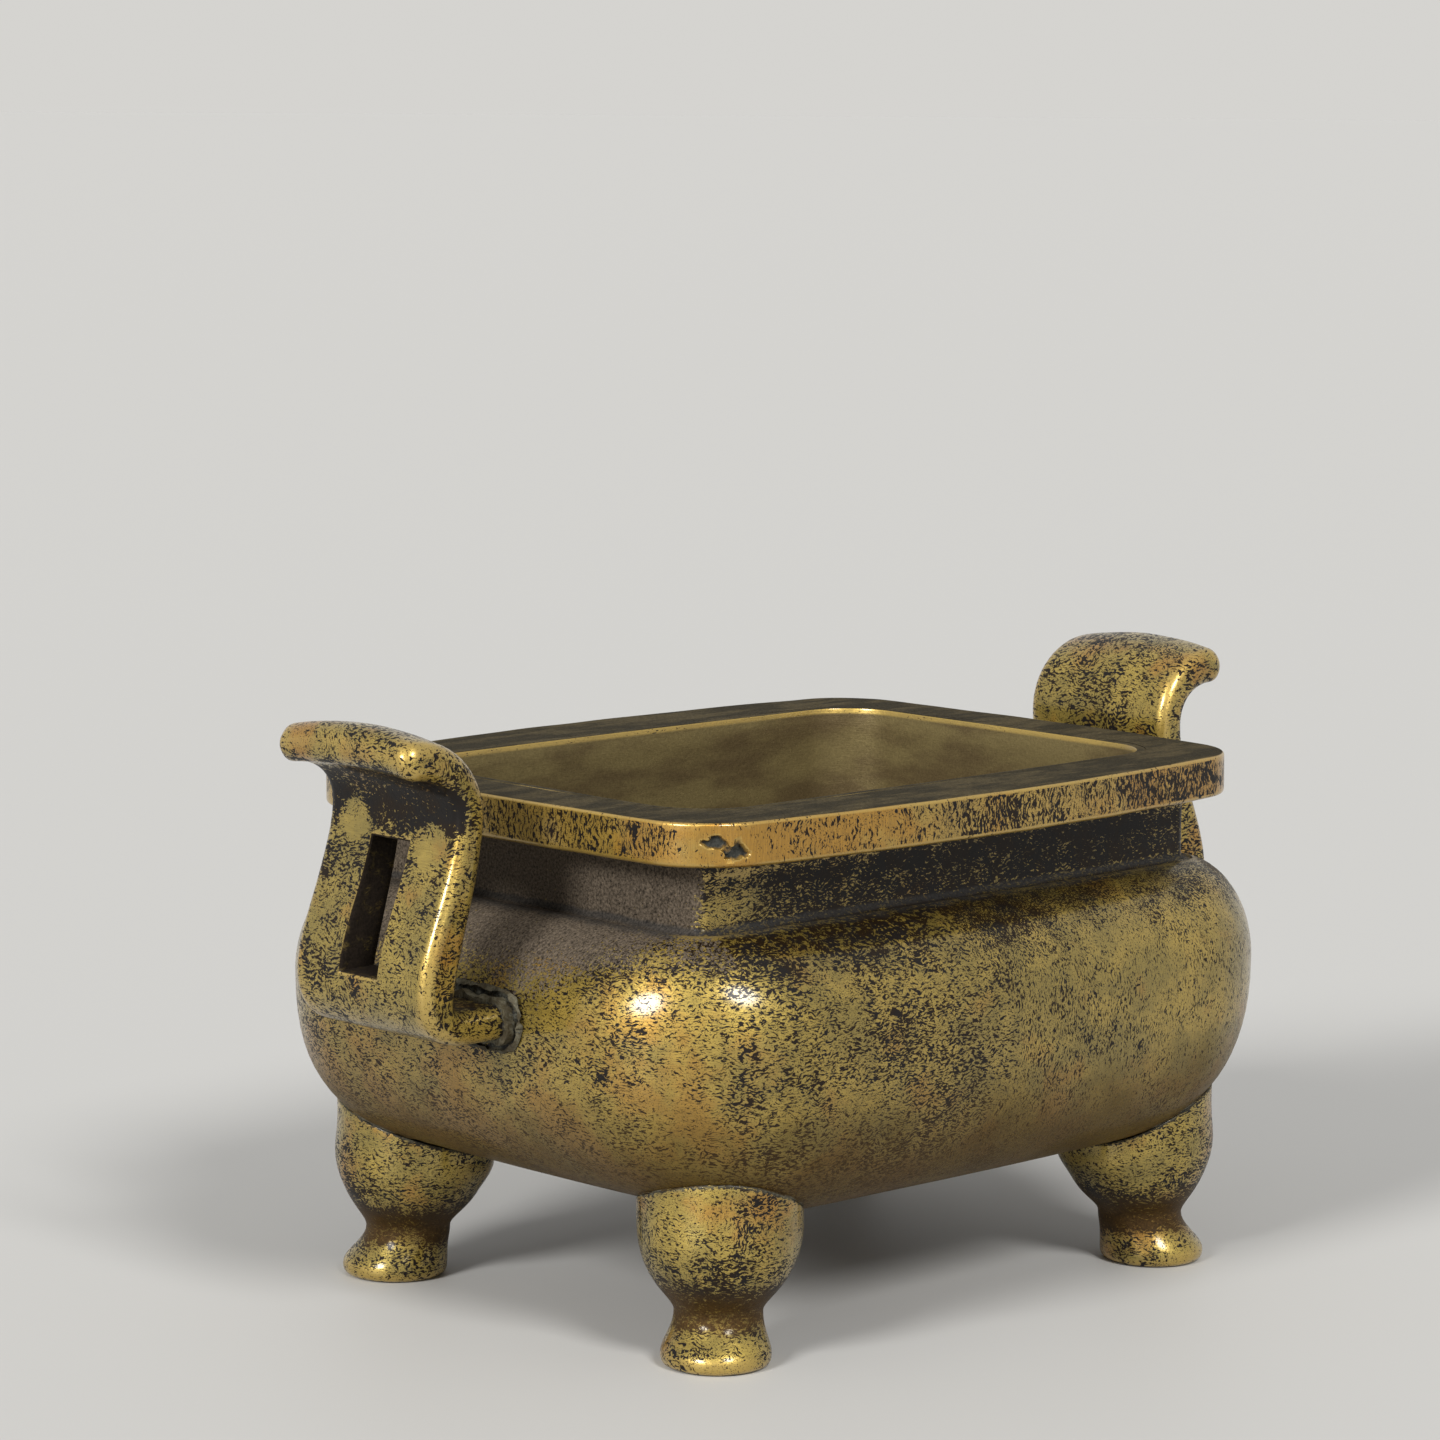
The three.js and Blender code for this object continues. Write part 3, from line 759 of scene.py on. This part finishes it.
JOINT_BRASS = brass_material(
    "joint_brass", 0.3, {"Warmth": 0.2}, roughness=0.5, size=0.8,
    dull={low_stain_and_shade: STAINED, bead_solder: MATT},
)
SOLDER_GREY = brass_material(
    "solder_grey", 0.5, {
        "Yellow": (0.2, 0.18, 0.12, 1), "Khaki": (0.11, 0.11, 0.085, 1),
        "Orange": (0.25, 0.17, 0.08, 1), "Warmth": 0.1,
    }, roughness=0.55, metal=0.3, dull={solder_skin: MATT},
)


# Basin

def belly_levels(grow_belly, grow_neck, bottom, neck, neck_corner, steps=20):
    """The vessel's levels from the flat underside to the neck, as add_ring values with z.

    The levels are grown past the outside of the belly and of the neck.
    """
    at_bottom = (
        BELLY_OUTSET_ENDS - BELLY_UNDERCUT_ENDS, BELLY_OUTSET_SIDES - BELLY_UNDERCUT_SIDES,
        BELLY_BOTTOM_CORNER, NECK_BOW,
    )
    widest = (
        BELLY_OUTSET_ENDS + grow_belly, BELLY_OUTSET_SIDES + grow_belly,
        BELLY_CORNER + grow_belly, BELLY_BOW,
    )
    at_neck = (grow_neck, grow_neck, neck_corner, NECK_BOW)

    def level(z, far, share):
        ends, sides, corner, bow = (a + (b - a) * share for a, b in zip(far, widest))
        return z, (NECK_HALF_LENGTH + ends, NECK_HALF_WIDTH + sides, corner, bow, bow)

    levels = []
    for across, up in reversed(quarter_curve(steps, UNDERSIDE_FULLNESS)):
        levels.append(level(BELLY_WIDEST - (BELLY_WIDEST - bottom) * up, at_bottom, across))
    for across, up in quarter_curve(steps, SHOULDER_FULLNESS)[1:]:
        levels.append(level(BELLY_WIDEST + (neck - BELLY_WIDEST) * up, at_neck, across))
    return levels


def neck_level(z, inset, corner):
    return z, (NECK_HALF_LENGTH - inset, NECK_HALF_WIDTH - inset, corner, NECK_BOW, NECK_BOW)


def make_basin():
    """The vessel in one skin: up the outside, over the lip, and down the inside to the floor."""
    outer = belly_levels(0, 0, BELLY_BOTTOM, NECK_BASE, NECK_CORNER)
    inner = belly_levels(
        -BELLY_WALL, -NECK_WALL, BELLY_BOTTOM + FLOOR_THICKNESS,
        NECK_BASE - BELLY_WALL + NECK_WALL / 2, NECK_INNER_CORNER,
    )
    # The groove at the foot of the neck takes the place of the shoulder's last few levels.
    groove_start = NECK_HALF_LENGTH + NECK_COVE + 0.9
    outer = [item for item in outer if item[1][0] > groove_start or item[0] < BELLY_WIDEST]
    for across, up in quarter_curve(5):
        z = NECK_BASE - GROOVE_DEPTH + NECK_COVE * (1 - across)
        outer.append(neck_level(z, -NECK_COVE * (1 - up), NECK_CORNER))
    neck_top = RIM_SEAT - 0.02
    tongue = NECK_WALL - TONGUE_WALL
    tongue_corner = NECK_INNER_CORNER + TONGUE_WALL
    lip = LIP_ROUND
    levels = outer + [
        neck_level(NECK_BASE + (neck_top - NECK_BASE) * share, 0, NECK_CORNER)
        for share in (0.3, 0.55, 0.8, 1)
    ] + [
        neck_level(neck_top + 0.03, tongue, tongue_corner),
        neck_level(RIM_TOP - 1.5, tongue, tongue_corner),
        neck_level(RIM_TOP - lip / 3, tongue, tongue_corner),
        neck_level(RIM_TOP - 0.02, tongue + lip / 3, tongue_corner),
        neck_level(RIM_TOP, NECK_WALL - lip, NECK_INNER_CORNER + lip),
        neck_level(RIM_TOP - lip * 0.3, NECK_WALL - lip * 0.3, NECK_INNER_CORNER + lip * 0.3),
        neck_level(RIM_TOP - lip, NECK_WALL, NECK_INNER_CORNER),
        *(neck_level(RIM_TOP - depth, NECK_WALL, NECK_INNER_CORNER) for depth in (4, 9, 14)),
    ] + inner[::-1]
    bm = loft([(at_height(z), values) for z, values in levels])
    # Rings of narrow faces keep the flat underside and floor from shading into the walls.
    for face in [f for f in bm.faces if len(f.verts) > 20]:
        for _ in range(3):
            bmesh.ops.inset_region(bm, faces=[face], thickness=1.2)
    uneven(bm, depth=0.12, size=14, seed=3)
    return bm


def foot_places():
    """Each foot's name and the middles of its base ring, waist and top."""
    for name, sign_x, sign_y in (
        ("foot_front_left", -1, -1), ("foot_front_right", 1, -1),
        ("foot_back_right", 1, 1), ("foot_back_left", -1, 1),
    ):
        base = Vector((
            sign_x * (BELLY_END - FOOT_INSET_ENDS), sign_y * (BELLY_SIDE - FOOT_INSET_SIDES), 0,
        ))
        outwards = base.normalized()
        waist = base - outwards * FOOT_KICK
        yield name, base, waist, waist - outwards * FOOT_TOP_LEAN


def foot_outline(top):
    """The turned foot's outline as (radius, z), from the middle below to the middle above."""
    def curve(a, b, c, d, steps):
        return geometry.interpolate_bezier(Vector(a), Vector(b), Vector(c), Vector(d), steps)

    base, waist, bowl = FOOT_BASE_RADIUS, FOOT_WAIST_RADIUS, FOOT_BOWL_RADIUS
    flat = base - FOOT_BASE_ROUND
    rise = FOOT_BOWL - FOOT_WAIST
    (cove_low, cove_high), (swell_low, swell_high) = FOOT_BASE_COVE, FOOT_BOWL_SWELL
    ring = curve((flat, 0), (base - 0.3, 0), (base, 0.6), (base, FOOT_BASE_ROUND), 7)
    cove = curve(
        (base, FOOT_BASE_ROUND), (base, FOOT_WAIST * cove_low),
        (waist, FOOT_WAIST * cove_high), (waist, FOOT_WAIST), 12,
    )
    swell = curve(
        (waist, FOOT_WAIST), (waist, FOOT_WAIST + rise * swell_low),
        (bowl, FOOT_WAIST + rise * swell_high), (bowl, FOOT_BOWL), 18,
    )
    wall = [(bowl, FOOT_BOWL + (top - FOOT_BOWL) * share) for share in (0.35, 0.6, 0.75)]
    lip = [(bowl, top - 0.3), (bowl - 0.1, top - 0.08), (bowl - 0.3, top)]
    cap = [(bowl * share, top) for share in (0.8, 0.6, 0.4, 0.2, 0)]
    return [(0, 0), (flat / 2, 0)] + ring + cove[1:] + swell[1:] + wall + lip + cap


def make_foot(base, waist, top_middle, belly, seed):
    """A turned goblet foot that bends along its height and follows the belly's underside."""
    top = FOOT_BOWL + 3
    bm = bmesh.new()
    verts = [bm.verts.new((radius, 0, z)) for radius, z in foot_outline(top)]
    edges = [bm.edges.new(pair) for pair in zip(verts, verts[1:])]
    bmesh.ops.spin(
        bm, geom=verts + edges, cent=(0, 0, 0), axis=(0, 0, 1), angle=2 * math.pi,
        steps=72, use_merge=True, use_duplicate=False,
    )
    bmesh.ops.remove_doubles(bm, verts=bm.verts, dist=1e-3)
    for v in bm.verts:
        z = v.co.z
        kick = 1 - smoothstep(z, FOOT_WAIST / 5, FOOT_WAIST)
        lean = smoothstep(z, (FOOT_WAIST + FOOT_BOWL) / 2, FOOT_BOWL)
        v.co += waist.lerp(base, kick).lerp(top_middle, lean)
        if z > FOOT_WAIST:
            hit = belly.ray_cast(Vector((v.co.x, v.co.y, 0)), Vector((0, 0, 1)))[0]
            seat = hit.z - FOOT_GAP if hit else top
            v.co.z = FOOT_WAIST + (z - FOOT_WAIST) * (seat - FOOT_WAIST) / (top - FOOT_WAIST)
    bmesh.ops.recalc_face_normals(bm, faces=bm.faces)
    uneven(bm, depth=0.12, size=6, seed=seed)
    for v in bm.verts:
        v.co.z = max(0, v.co.z)
    return bm


def make_bead(top_middle, belly, seed):
    """The thin line of solder between a foot and the belly."""
    steps, around = 96, 8
    bm = bmesh.new()
    number = bm.verts.layers.int.new("ring")
    rings = []
    for step in range(steps):
        angle = step / steps * 2 * math.pi
        out = Vector((math.cos(angle), math.sin(angle), 0))
        place = top_middle + out * (FOOT_BOWL_RADIUS - BEAD_RADIUS - 0.08)
        hit = belly.ray_cast(Vector((place.x, place.y, 0)), Vector((0, 0, 1)))[0]
        place.z = hit.z - 0.1
        made = bmesh.ops.create_circle(bm, segments=around, radius=BEAD_RADIUS)["verts"]
        turn = Matrix((
            (out.x, 0, -out.y, place.x), (out.y, 0, out.x, place.y), (0, 1, 0, place.z), (0, 0, 0, 1),
        ))
        bmesh.ops.transform(bm, matrix=turn, verts=made)
        for v in made:
            v[number] = step
        rings.append(list({e for v in made for e in v.link_edges}))
    for lower, upper in zip(rings, rings[1:] + rings[:1]):
        bmesh.ops.bridge_loops(bm, edges=lower + upper)
    bm.verts.layers.int.remove(number)
    bmesh.ops.recalc_face_normals(bm, faces=bm.faces)
    uneven(bm, depth=0.3, size=1.5, seed=seed)
    return bm


def make_rim():
    """The flat plate with bowed sides, round the tongue of the vessel."""
    def level(z, inset):
        values = RIM_HALF_LENGTH - inset, RIM_HALF_WIDTH - inset, RIM_CORNER - inset
        return z, (*values, RIM_BOW_ENDS, RIM_BOW_SIDES)

    def hole(z, grow=0):
        inset = NECK_WALL - TONGUE_WALL - TONGUE_GAP - grow
        return z, (
            NECK_HALF_LENGTH - inset, NECK_HALF_WIDTH - inset,
            NECK_INNER_CORNER + TONGUE_WALL + TONGUE_GAP + grow, NECK_BOW, NECK_BOW,
        )

    lower, upper = [], []
    for across, up in quarter_curve(5):
        lower.append(level(RIM_SEAT + RIM_LOWER_ROUND * (1 - across), RIM_LOWER_ROUND * (1 - up)))
        upper.insert(0, level(RIM_TOP - RIM_UPPER_ROUND * (1 - across), RIM_UPPER_ROUND * (1 - up)))
    wall_low, wall_high = RIM_SEAT + RIM_LOWER_ROUND, RIM_TOP - RIM_UPPER_ROUND
    wall = [level(wall_low + (wall_high - wall_low) * sixth / 6, 0) for sixth in range(1, 6)]
    dish = 0.05
    levels = [
        hole(RIM_SEAT + dish), level(RIM_SEAT + dish * 0.6, 7), level(RIM_SEAT + dish * 0.3, 3),
        *lower, *wall, *upper,
        level(RIM_TOP - dish * 0.3, 2), level(RIM_TOP - dish * 0.6, 5),
        hole(RIM_TOP - dish, -0.15), hole(RIM_TOP - dish * 5),
    ]
    bm = loft([(at_height(z), values) for z, values in levels], side_steps=40, closed=True)
    uneven(bm, depth=0.14, size=9, seed=23)
    for pit in CASTING_PITS:
        sink_pit(bm, *pit)
    return bm


def sink_pit(bm, middle, half_width, half_height, depth):
    """Sinks a ragged casting pit into the rim's edge."""
    middle = Vector(middle)
    reach = 1.6 * half_width
    faces = [f for f in bm.faces if (f.calc_center_median() - middle).length < reach]
    edges = {e for f in faces for e in f.edges}
    bmesh.ops.subdivide_edges(bm, edges=list(edges), cuts=5, use_grid_fill=True)
    bm.normal_update()
    pit = bm.verts.layers.float.get("pit") or bm.verts.layers.float.new("pit")
    moves = []
    for v in bm.verts:
        away = v.co - middle
        if away.length < reach:
            along = math.hypot(away.x, away.y) / half_width
            distance = math.hypot(along, away.z / half_height) + 0.55 * noise.noise(v.co * 1.1)
            share = smoothstep(1.1 - distance, 0, 0.3)
            v[pit] = max(v[pit], share)
            moves.append((v, v.normal * -depth * share))
    for v, move in moves:
        v.co += move


# Ears

def ear_line():
    """The middle of the ear's metal seen from the side, as points (reach from belly, z)."""
    foot = Vector((EAR_FOOT_REACH, EAR_TAB + EAR_FOOT_RISE))
    waist = Vector((EAR_WAIST_REACH, EAR_TAB + EAR_WAIST_RISE))
    tip_radius = EAR_THICKNESS[-1][1] / 2
    tip = Vector((EAR_TIP_REACH - tip_radius, EAR_TAB + EAR_TOP_RISE - tip_radius))
    start = Vector((-2.6, EAR_TAB))
    tab_end = Vector((EAR_FOOT_REACH - 5.2, EAR_TAB))
    rise = waist.y - foot.y
    lean = EAR_FOOT_REACH - EAR_WAIST_REACH
    (turn_out, turn_in, turn_down), (bend_in, bend_low, bend_high) = EAR_FOOT_TURN, EAR_PLATE_BEND
    crest_up, crest_out = EAR_CREST_BEND
    curves = [
        (start, start.lerp(tab_end, 1 / 3), start.lerp(tab_end, 2 / 3), tab_end),
        (tab_end, Vector((foot.x + lean * turn_out, EAR_TAB)),
         Vector((foot.x + lean * turn_in, foot.y - EAR_FOOT_RISE * turn_down)), foot),
        (foot, Vector((foot.x - lean * bend_in, foot.y + rise * bend_low)),
         Vector((waist.x, waist.y - rise * bend_high)), waist),
        (waist, Vector((waist.x, waist.y + (tip.y - waist.y) * crest_up)),
         Vector((waist.x + (tip.x - waist.x) * crest_out, tip.y)), tip),
    ]
    points = [start]
    for curve in curves:
        points += geometry.interpolate_bezier(*curve, 60)[1:]
    return points


def along(points, share):
    """Place and direction at a share of a line's length."""
    lengths = [0]
    for a, b in zip(points, points[1:]):
        lengths.append(lengths[-1] + (b - a).length)
    wanted = share * lengths[-1]
    at = min(len(points) - 2, max(0, sum(1 for length in lengths if length < wanted) - 1))
    part = (wanted - lengths[at]) / (lengths[at + 1] - lengths[at])
    return points[at].lerp(points[at + 1], part), (points[at + 1] - points[at]).normalized()


def ear_thickness(share):
    for (low, thin), (high, thick) in zip(EAR_THICKNESS, EAR_THICKNESS[1:]):
        if share <= high:
            return thin + (thick - thin) * smoothstep(share, low, high)
    return EAR_THICKNESS[-1][1]


def make_ear(seed):
    """The right ear: a bent and scrolled plate, skinned along its middle line, then slotted."""
    points = ear_line()
    steps = 64

    def section(share, shrink, forward):
        place, run = along(points, share)
        place = place + run * forward
        half = ear_thickness(share) / 2
        across = Vector((run.y, -run.x))
        turn = Matrix((
            (across.x, 0, run.x, BELLY_END + place.x), (0, -1, 0, 0),
            (across.y, 0, run.y, place.y), (0, 0, 0, 1),
        ))
        corner = min(EAR_EDGE, half - shrink - 0.1)
        return turn, (half - shrink, EAR_WIDTH / 2 - shrink * 0.8, corner)

    sections = [section(step / steps, 0, 0) for step in range(steps + 1)]
    tip_radius = EAR_THICKNESS[-1][1] / 2
    for across, up in quarter_curve(8)[1:-1]:
        sections.append(section(1, tip_radius * (1 - across) * 0.94, tip_radius * up))
    bm = loft(sections, corner_steps=6, side_steps=18)
    for v in bm.verts:
        share = 1 - (v.co.y / (EAR_WIDTH / 2)) ** 2
        crest = smoothstep(v.co.z - EAR_TAB, EAR_WAIST_RISE, EAR_TOP_RISE)
        v.co.z += EAR_CREST_CROWN * share * crest
    cut_slot(bm)
    uneven(bm, depth=0.12, size=7, seed=seed)
    return bm


def cut_slot(bm):
    """Opens the upright slot through the plate, with a chamfer round both its mouths."""
    wide, low, high = SLOT_HALF_WIDTH, SLOT_LOW, SLOT_HIGH
    planes = []
    for grow in (SLOT_CHAMFER, 0):
        planes += [
            ((0, wide + grow, 0), (0, 1, 0)), ((0, -wide - grow, 0), (0, 1, 0)),
            ((0, 0, low - grow), (0, 0, 1)), ((0, 0, high + grow), (0, 0, 1)),
        ]
    for point, normal in planes:
        bmesh.ops.bisect_plane(
            bm, geom=list(bm.verts) + list(bm.edges) + list(bm.faces), dist=0.02,
            plane_co=point, plane_no=normal,
        )
    cut = set()
    for face in bm.faces:
        middle = face.calc_center_median()
        if abs(middle.y) < wide and low < middle.z < high:
            cut.add(face)
    border = [e for e in bm.edges if sum(1 for f in e.link_faces if f in cut) == 1]
    bm.normal_update()
    for v in {v for e in border for v in e.verts}:
        v.co -= v.normal * SLOT_CHAMFER * 0.7
    bmesh.ops.delete(bm, geom=list(cut), context="FACES")
    walls = bmesh.ops.bridge_loops(bm, edges=[e for e in border if e.is_valid])["faces"]
    through = {e for f in walls for e in f.edges if abs(e.verts[0].co.x - e.verts[1].co.x) > 2}
    bmesh.ops.subdivide_edges(bm, edges=list(through), cuts=5)


# Solder round the roots of the ears

def make_solder(seed):
    """The lumpy fillet of solder round the right ear's tab."""
    half_thickness, half_width = EAR_THICKNESS[0][1] / 2, EAR_WIDTH / 2

    def section(out, grow, corner):
        turn = Matrix(((0, 0, 1, BELLY_END + out), (0, 1, 0, 0), (-1, 0, 0, EAR_TAB), (0, 0, 0, 1)))
        return turn, (half_thickness + grow, half_width + grow, corner)

    sections = [
        section(-2.5, 0.05, EAR_EDGE), section(-2.5, SOLDER_REACH, EAR_EDGE + SOLDER_REACH),
    ]
    for across, up in quarter_curve(12):
        grow = SOLDER_EDGE + (SOLDER_REACH - SOLDER_EDGE) * (1 - up)
        sections.append(section(SOLDER_DEPTH * (1 - across) + 0.3, grow, EAR_EDGE + grow))
    sections.append(section(SOLDER_DEPTH + 0.3, 0.05, EAR_EDGE))
    bm = loft(sections, corner_steps=10, side_steps=36, closed=True)
    for depth, size in ((1.5, 2.8), (0.9, 1.2), (0.35, 0.5)):
        uneven(bm, depth, size, seed)
    return bm


# Making the pieces

basin_mesh = make_basin()
belly_tree = BVHTree.FromBMesh(basin_mesh)
pieces = [finish_piece(basin_mesh, "basin_shell", BASIN_BRASS, "basin")]
pieces.append(finish_piece(make_rim(), "rim_band", RIM_BRASS, "rim_plate"))
for number, (name, *middles) in enumerate(foot_places()):
    foot = make_foot(*middles, belly_tree, seed=5 + number)
    pieces.append(finish_piece(foot, f"{name}_turned", FOOT_BRASS, name))
    bead = make_bead(middles[-1], belly_tree, seed=31 + number)
    pieces.append(finish_piece(bead, f"{name}_bead", JOINT_BRASS, "basin"))
for word, turn, ear_seed, solder_seed in (("right", 0, 12, 18), ("left", math.pi, 10, 16)):
    ear, solder = make_ear(ear_seed), make_solder(solder_seed)
    for bm in (ear, solder):
        bmesh.ops.rotate(bm, verts=bm.verts, cent=(0, 0, 0), matrix=Matrix.Rotation(turn, 3, "Z"))
    pieces.append(finish_piece(ear, f"ear_{word}_scroll", EAR_BRASS, f"ear_{word}"))
    pieces.append(finish_piece(
        solder, f"solder_{word}_fillet", SOLDER_GREY, f"ear_solder_{word}",
    ))


# Wear and hollows, stored on the vertices

def hemisphere(count):
    """Evenly spread directions above a plane."""
    golden = math.pi * (3 - math.sqrt(5))
    rays = []
    for step in range(count):
        z = 1 - (step + 0.5) / count
        level = math.sqrt(1 - z * z)
        rays.append(Vector((math.cos(step * golden) * level, math.sin(step * golden) * level, z)))
    return rays


def whole_tree(pieces):
    """All the pieces' faces, for casting rays."""
    verts, faces = [], []
    for piece in pieces:
        start = len(verts)
        verts += [v.co.copy() for v in piece.data.vertices]
        faces += [[start + index for index in polygon.vertices] for polygon in piece.data.polygons]
    return BVHTree.FromPolygons(verts, faces)


def store_surface_facts(pieces, belly):
    """Gives every vertex its hollow, edge, inside and seam values, from 0 to 1, for the finishes."""
    tree = whole_tree(pieces)
    rays = hemisphere(40)
    reach = 30 * MM
    for piece in pieces:
        under_rim = piece.name.startswith("basin")
        joined = piece.name.startswith(("foot", "rim"))
        fade = (-2.2, -0.8) if under_rim else (-0.8, -0.2)
        bm = bmesh.new()
        bm.from_mesh(piece.data)
        bm.normal_update()
        hollow, edge, inside, seam = [], [], [], []
        for v in bm.verts:
            # How closed in the vertex is; the finishes darken by it, partly as patina, partly as
            # painted shade.
            turn = v.normal.to_track_quat("Z", "Y")
            start = v.co + v.normal * 0.15 * MM
            closed = 0
            for ray in rays:
                distance = tree.ray_cast(start, turn @ ray, reach)[3]
                closed += 1 - (reach if distance is None else distance) / reach
            hollow.append(min(1, closed / len(rays) * 1.25))
            edge.append(max(0, sum(e.calc_face_angle_signed(0) for e in v.link_edges)))
            inward = -v.normal.x * v.co.x - v.normal.y * v.co.y
            size = math.hypot(v.co.x, v.co.y) + MM
            on_floor = v.normal.z > 0.6 and BELLY_BOTTOM * MM < v.co.z < BELLY_WIDEST * MM
            inside.append(1.0 if on_floor else smoothstep(inward / size, 0.05, 0.3))
            if under_rim:
                distance = abs(v.co.z / MM - RIM_SEAT)
            else:
                distance = belly.find_nearest(v.co / MM, 1)[3] if joined else None
            seam.append(0 if distance is None else smoothstep(-distance, *fade))
        neighbours = [[e.other_vert(v).index for e in v.link_edges] for v in bm.verts]
        for _ in range(2):
            edge = [
                (edge[i] + sum(edge[j] for j in near) / max(1, len(near))) / 2
                for i, near in enumerate(neighbours)
            ]
        bm.free()
        worn = [smoothstep(value, 0.4, 0.64) * (1 - shut) for value, shut in zip(edge, seam)]
        for name, values in (("hollow", hollow), ("edge", worn), ("inside", inside), ("seam", seam)):
            attribute = piece.data.attributes.new(name, "FLOAT", "POINT")
            attribute.data.foreach_set("value", values)


store_surface_facts(pieces, belly_tree)


# Floor and light

FLOOR_RADIUS = 18
FLOOR_COLOUR = (0.56, 0.559, 0.549, 1)
BACKDROP_COLOUR = (0.665, 0.655, 0.63, 1)
FILL_COLOUR = (0.34, 0.34, 0.34, 1)
LAMP_COLOUR = (1, 0.985, 0.96)


def add_floor():
    bm = bmesh.new()
    bmesh.ops.create_circle(bm, cap_ends=True, segments=96, radius=FLOOR_RADIUS)
    material = bpy.data.materials.new("pale_floor")
    material.use_nodes = True
    shader = material.node_tree.nodes["Principled BSDF"]
    shader.inputs["Base Color"].default_value = FLOOR_COLOUR
    shader.inputs["Roughness"].default_value = 0.6
    floor = add_mesh(bm, "floor", material)


def add_lamp(name, azimuth, elevation, angle, strength):
    """A soft round lamp far away, as wide as the angle in degrees."""
    data = bpy.data.lights.new(name, "SUN")
    data.angle = math.radians(angle)
    data.energy = strength
    data.color = LAMP_COLOUR
    lamp = add_object(name, data)
    way = direction(math.radians(azimuth), math.radians(elevation))
    lamp.location = way
    lamp.rotation_euler = way.to_track_quat("Z", "Y").to_euler()


def add_world():
    """A pale backdrop where the camera or a reflection sees it, and a dimmer fill light."""
    world = bpy.data.worlds.new("studio")
    bpy.context.scene.world = world
    world.use_nodes = True
    n = Nodes(world.node_tree)
    background = world.node_tree.nodes["Background"]
    path = n.add("ShaderNodeLightPath")
    seen = n.math("MAXIMUM", path.outputs["Is Camera Ray"], path.outputs["Is Glossy Ray"])
    n.feed(background.inputs["Color"], n.mix(seen, FILL_COLOUR, BACKDROP_COLOUR))


add_floor()
add_world()
add_lamp("key_left", azimuth=-82, elevation=28, angle=18, strength=2.6)
add_lamp("key_right", azimuth=-15, elevation=39, angle=17, strength=2.05)
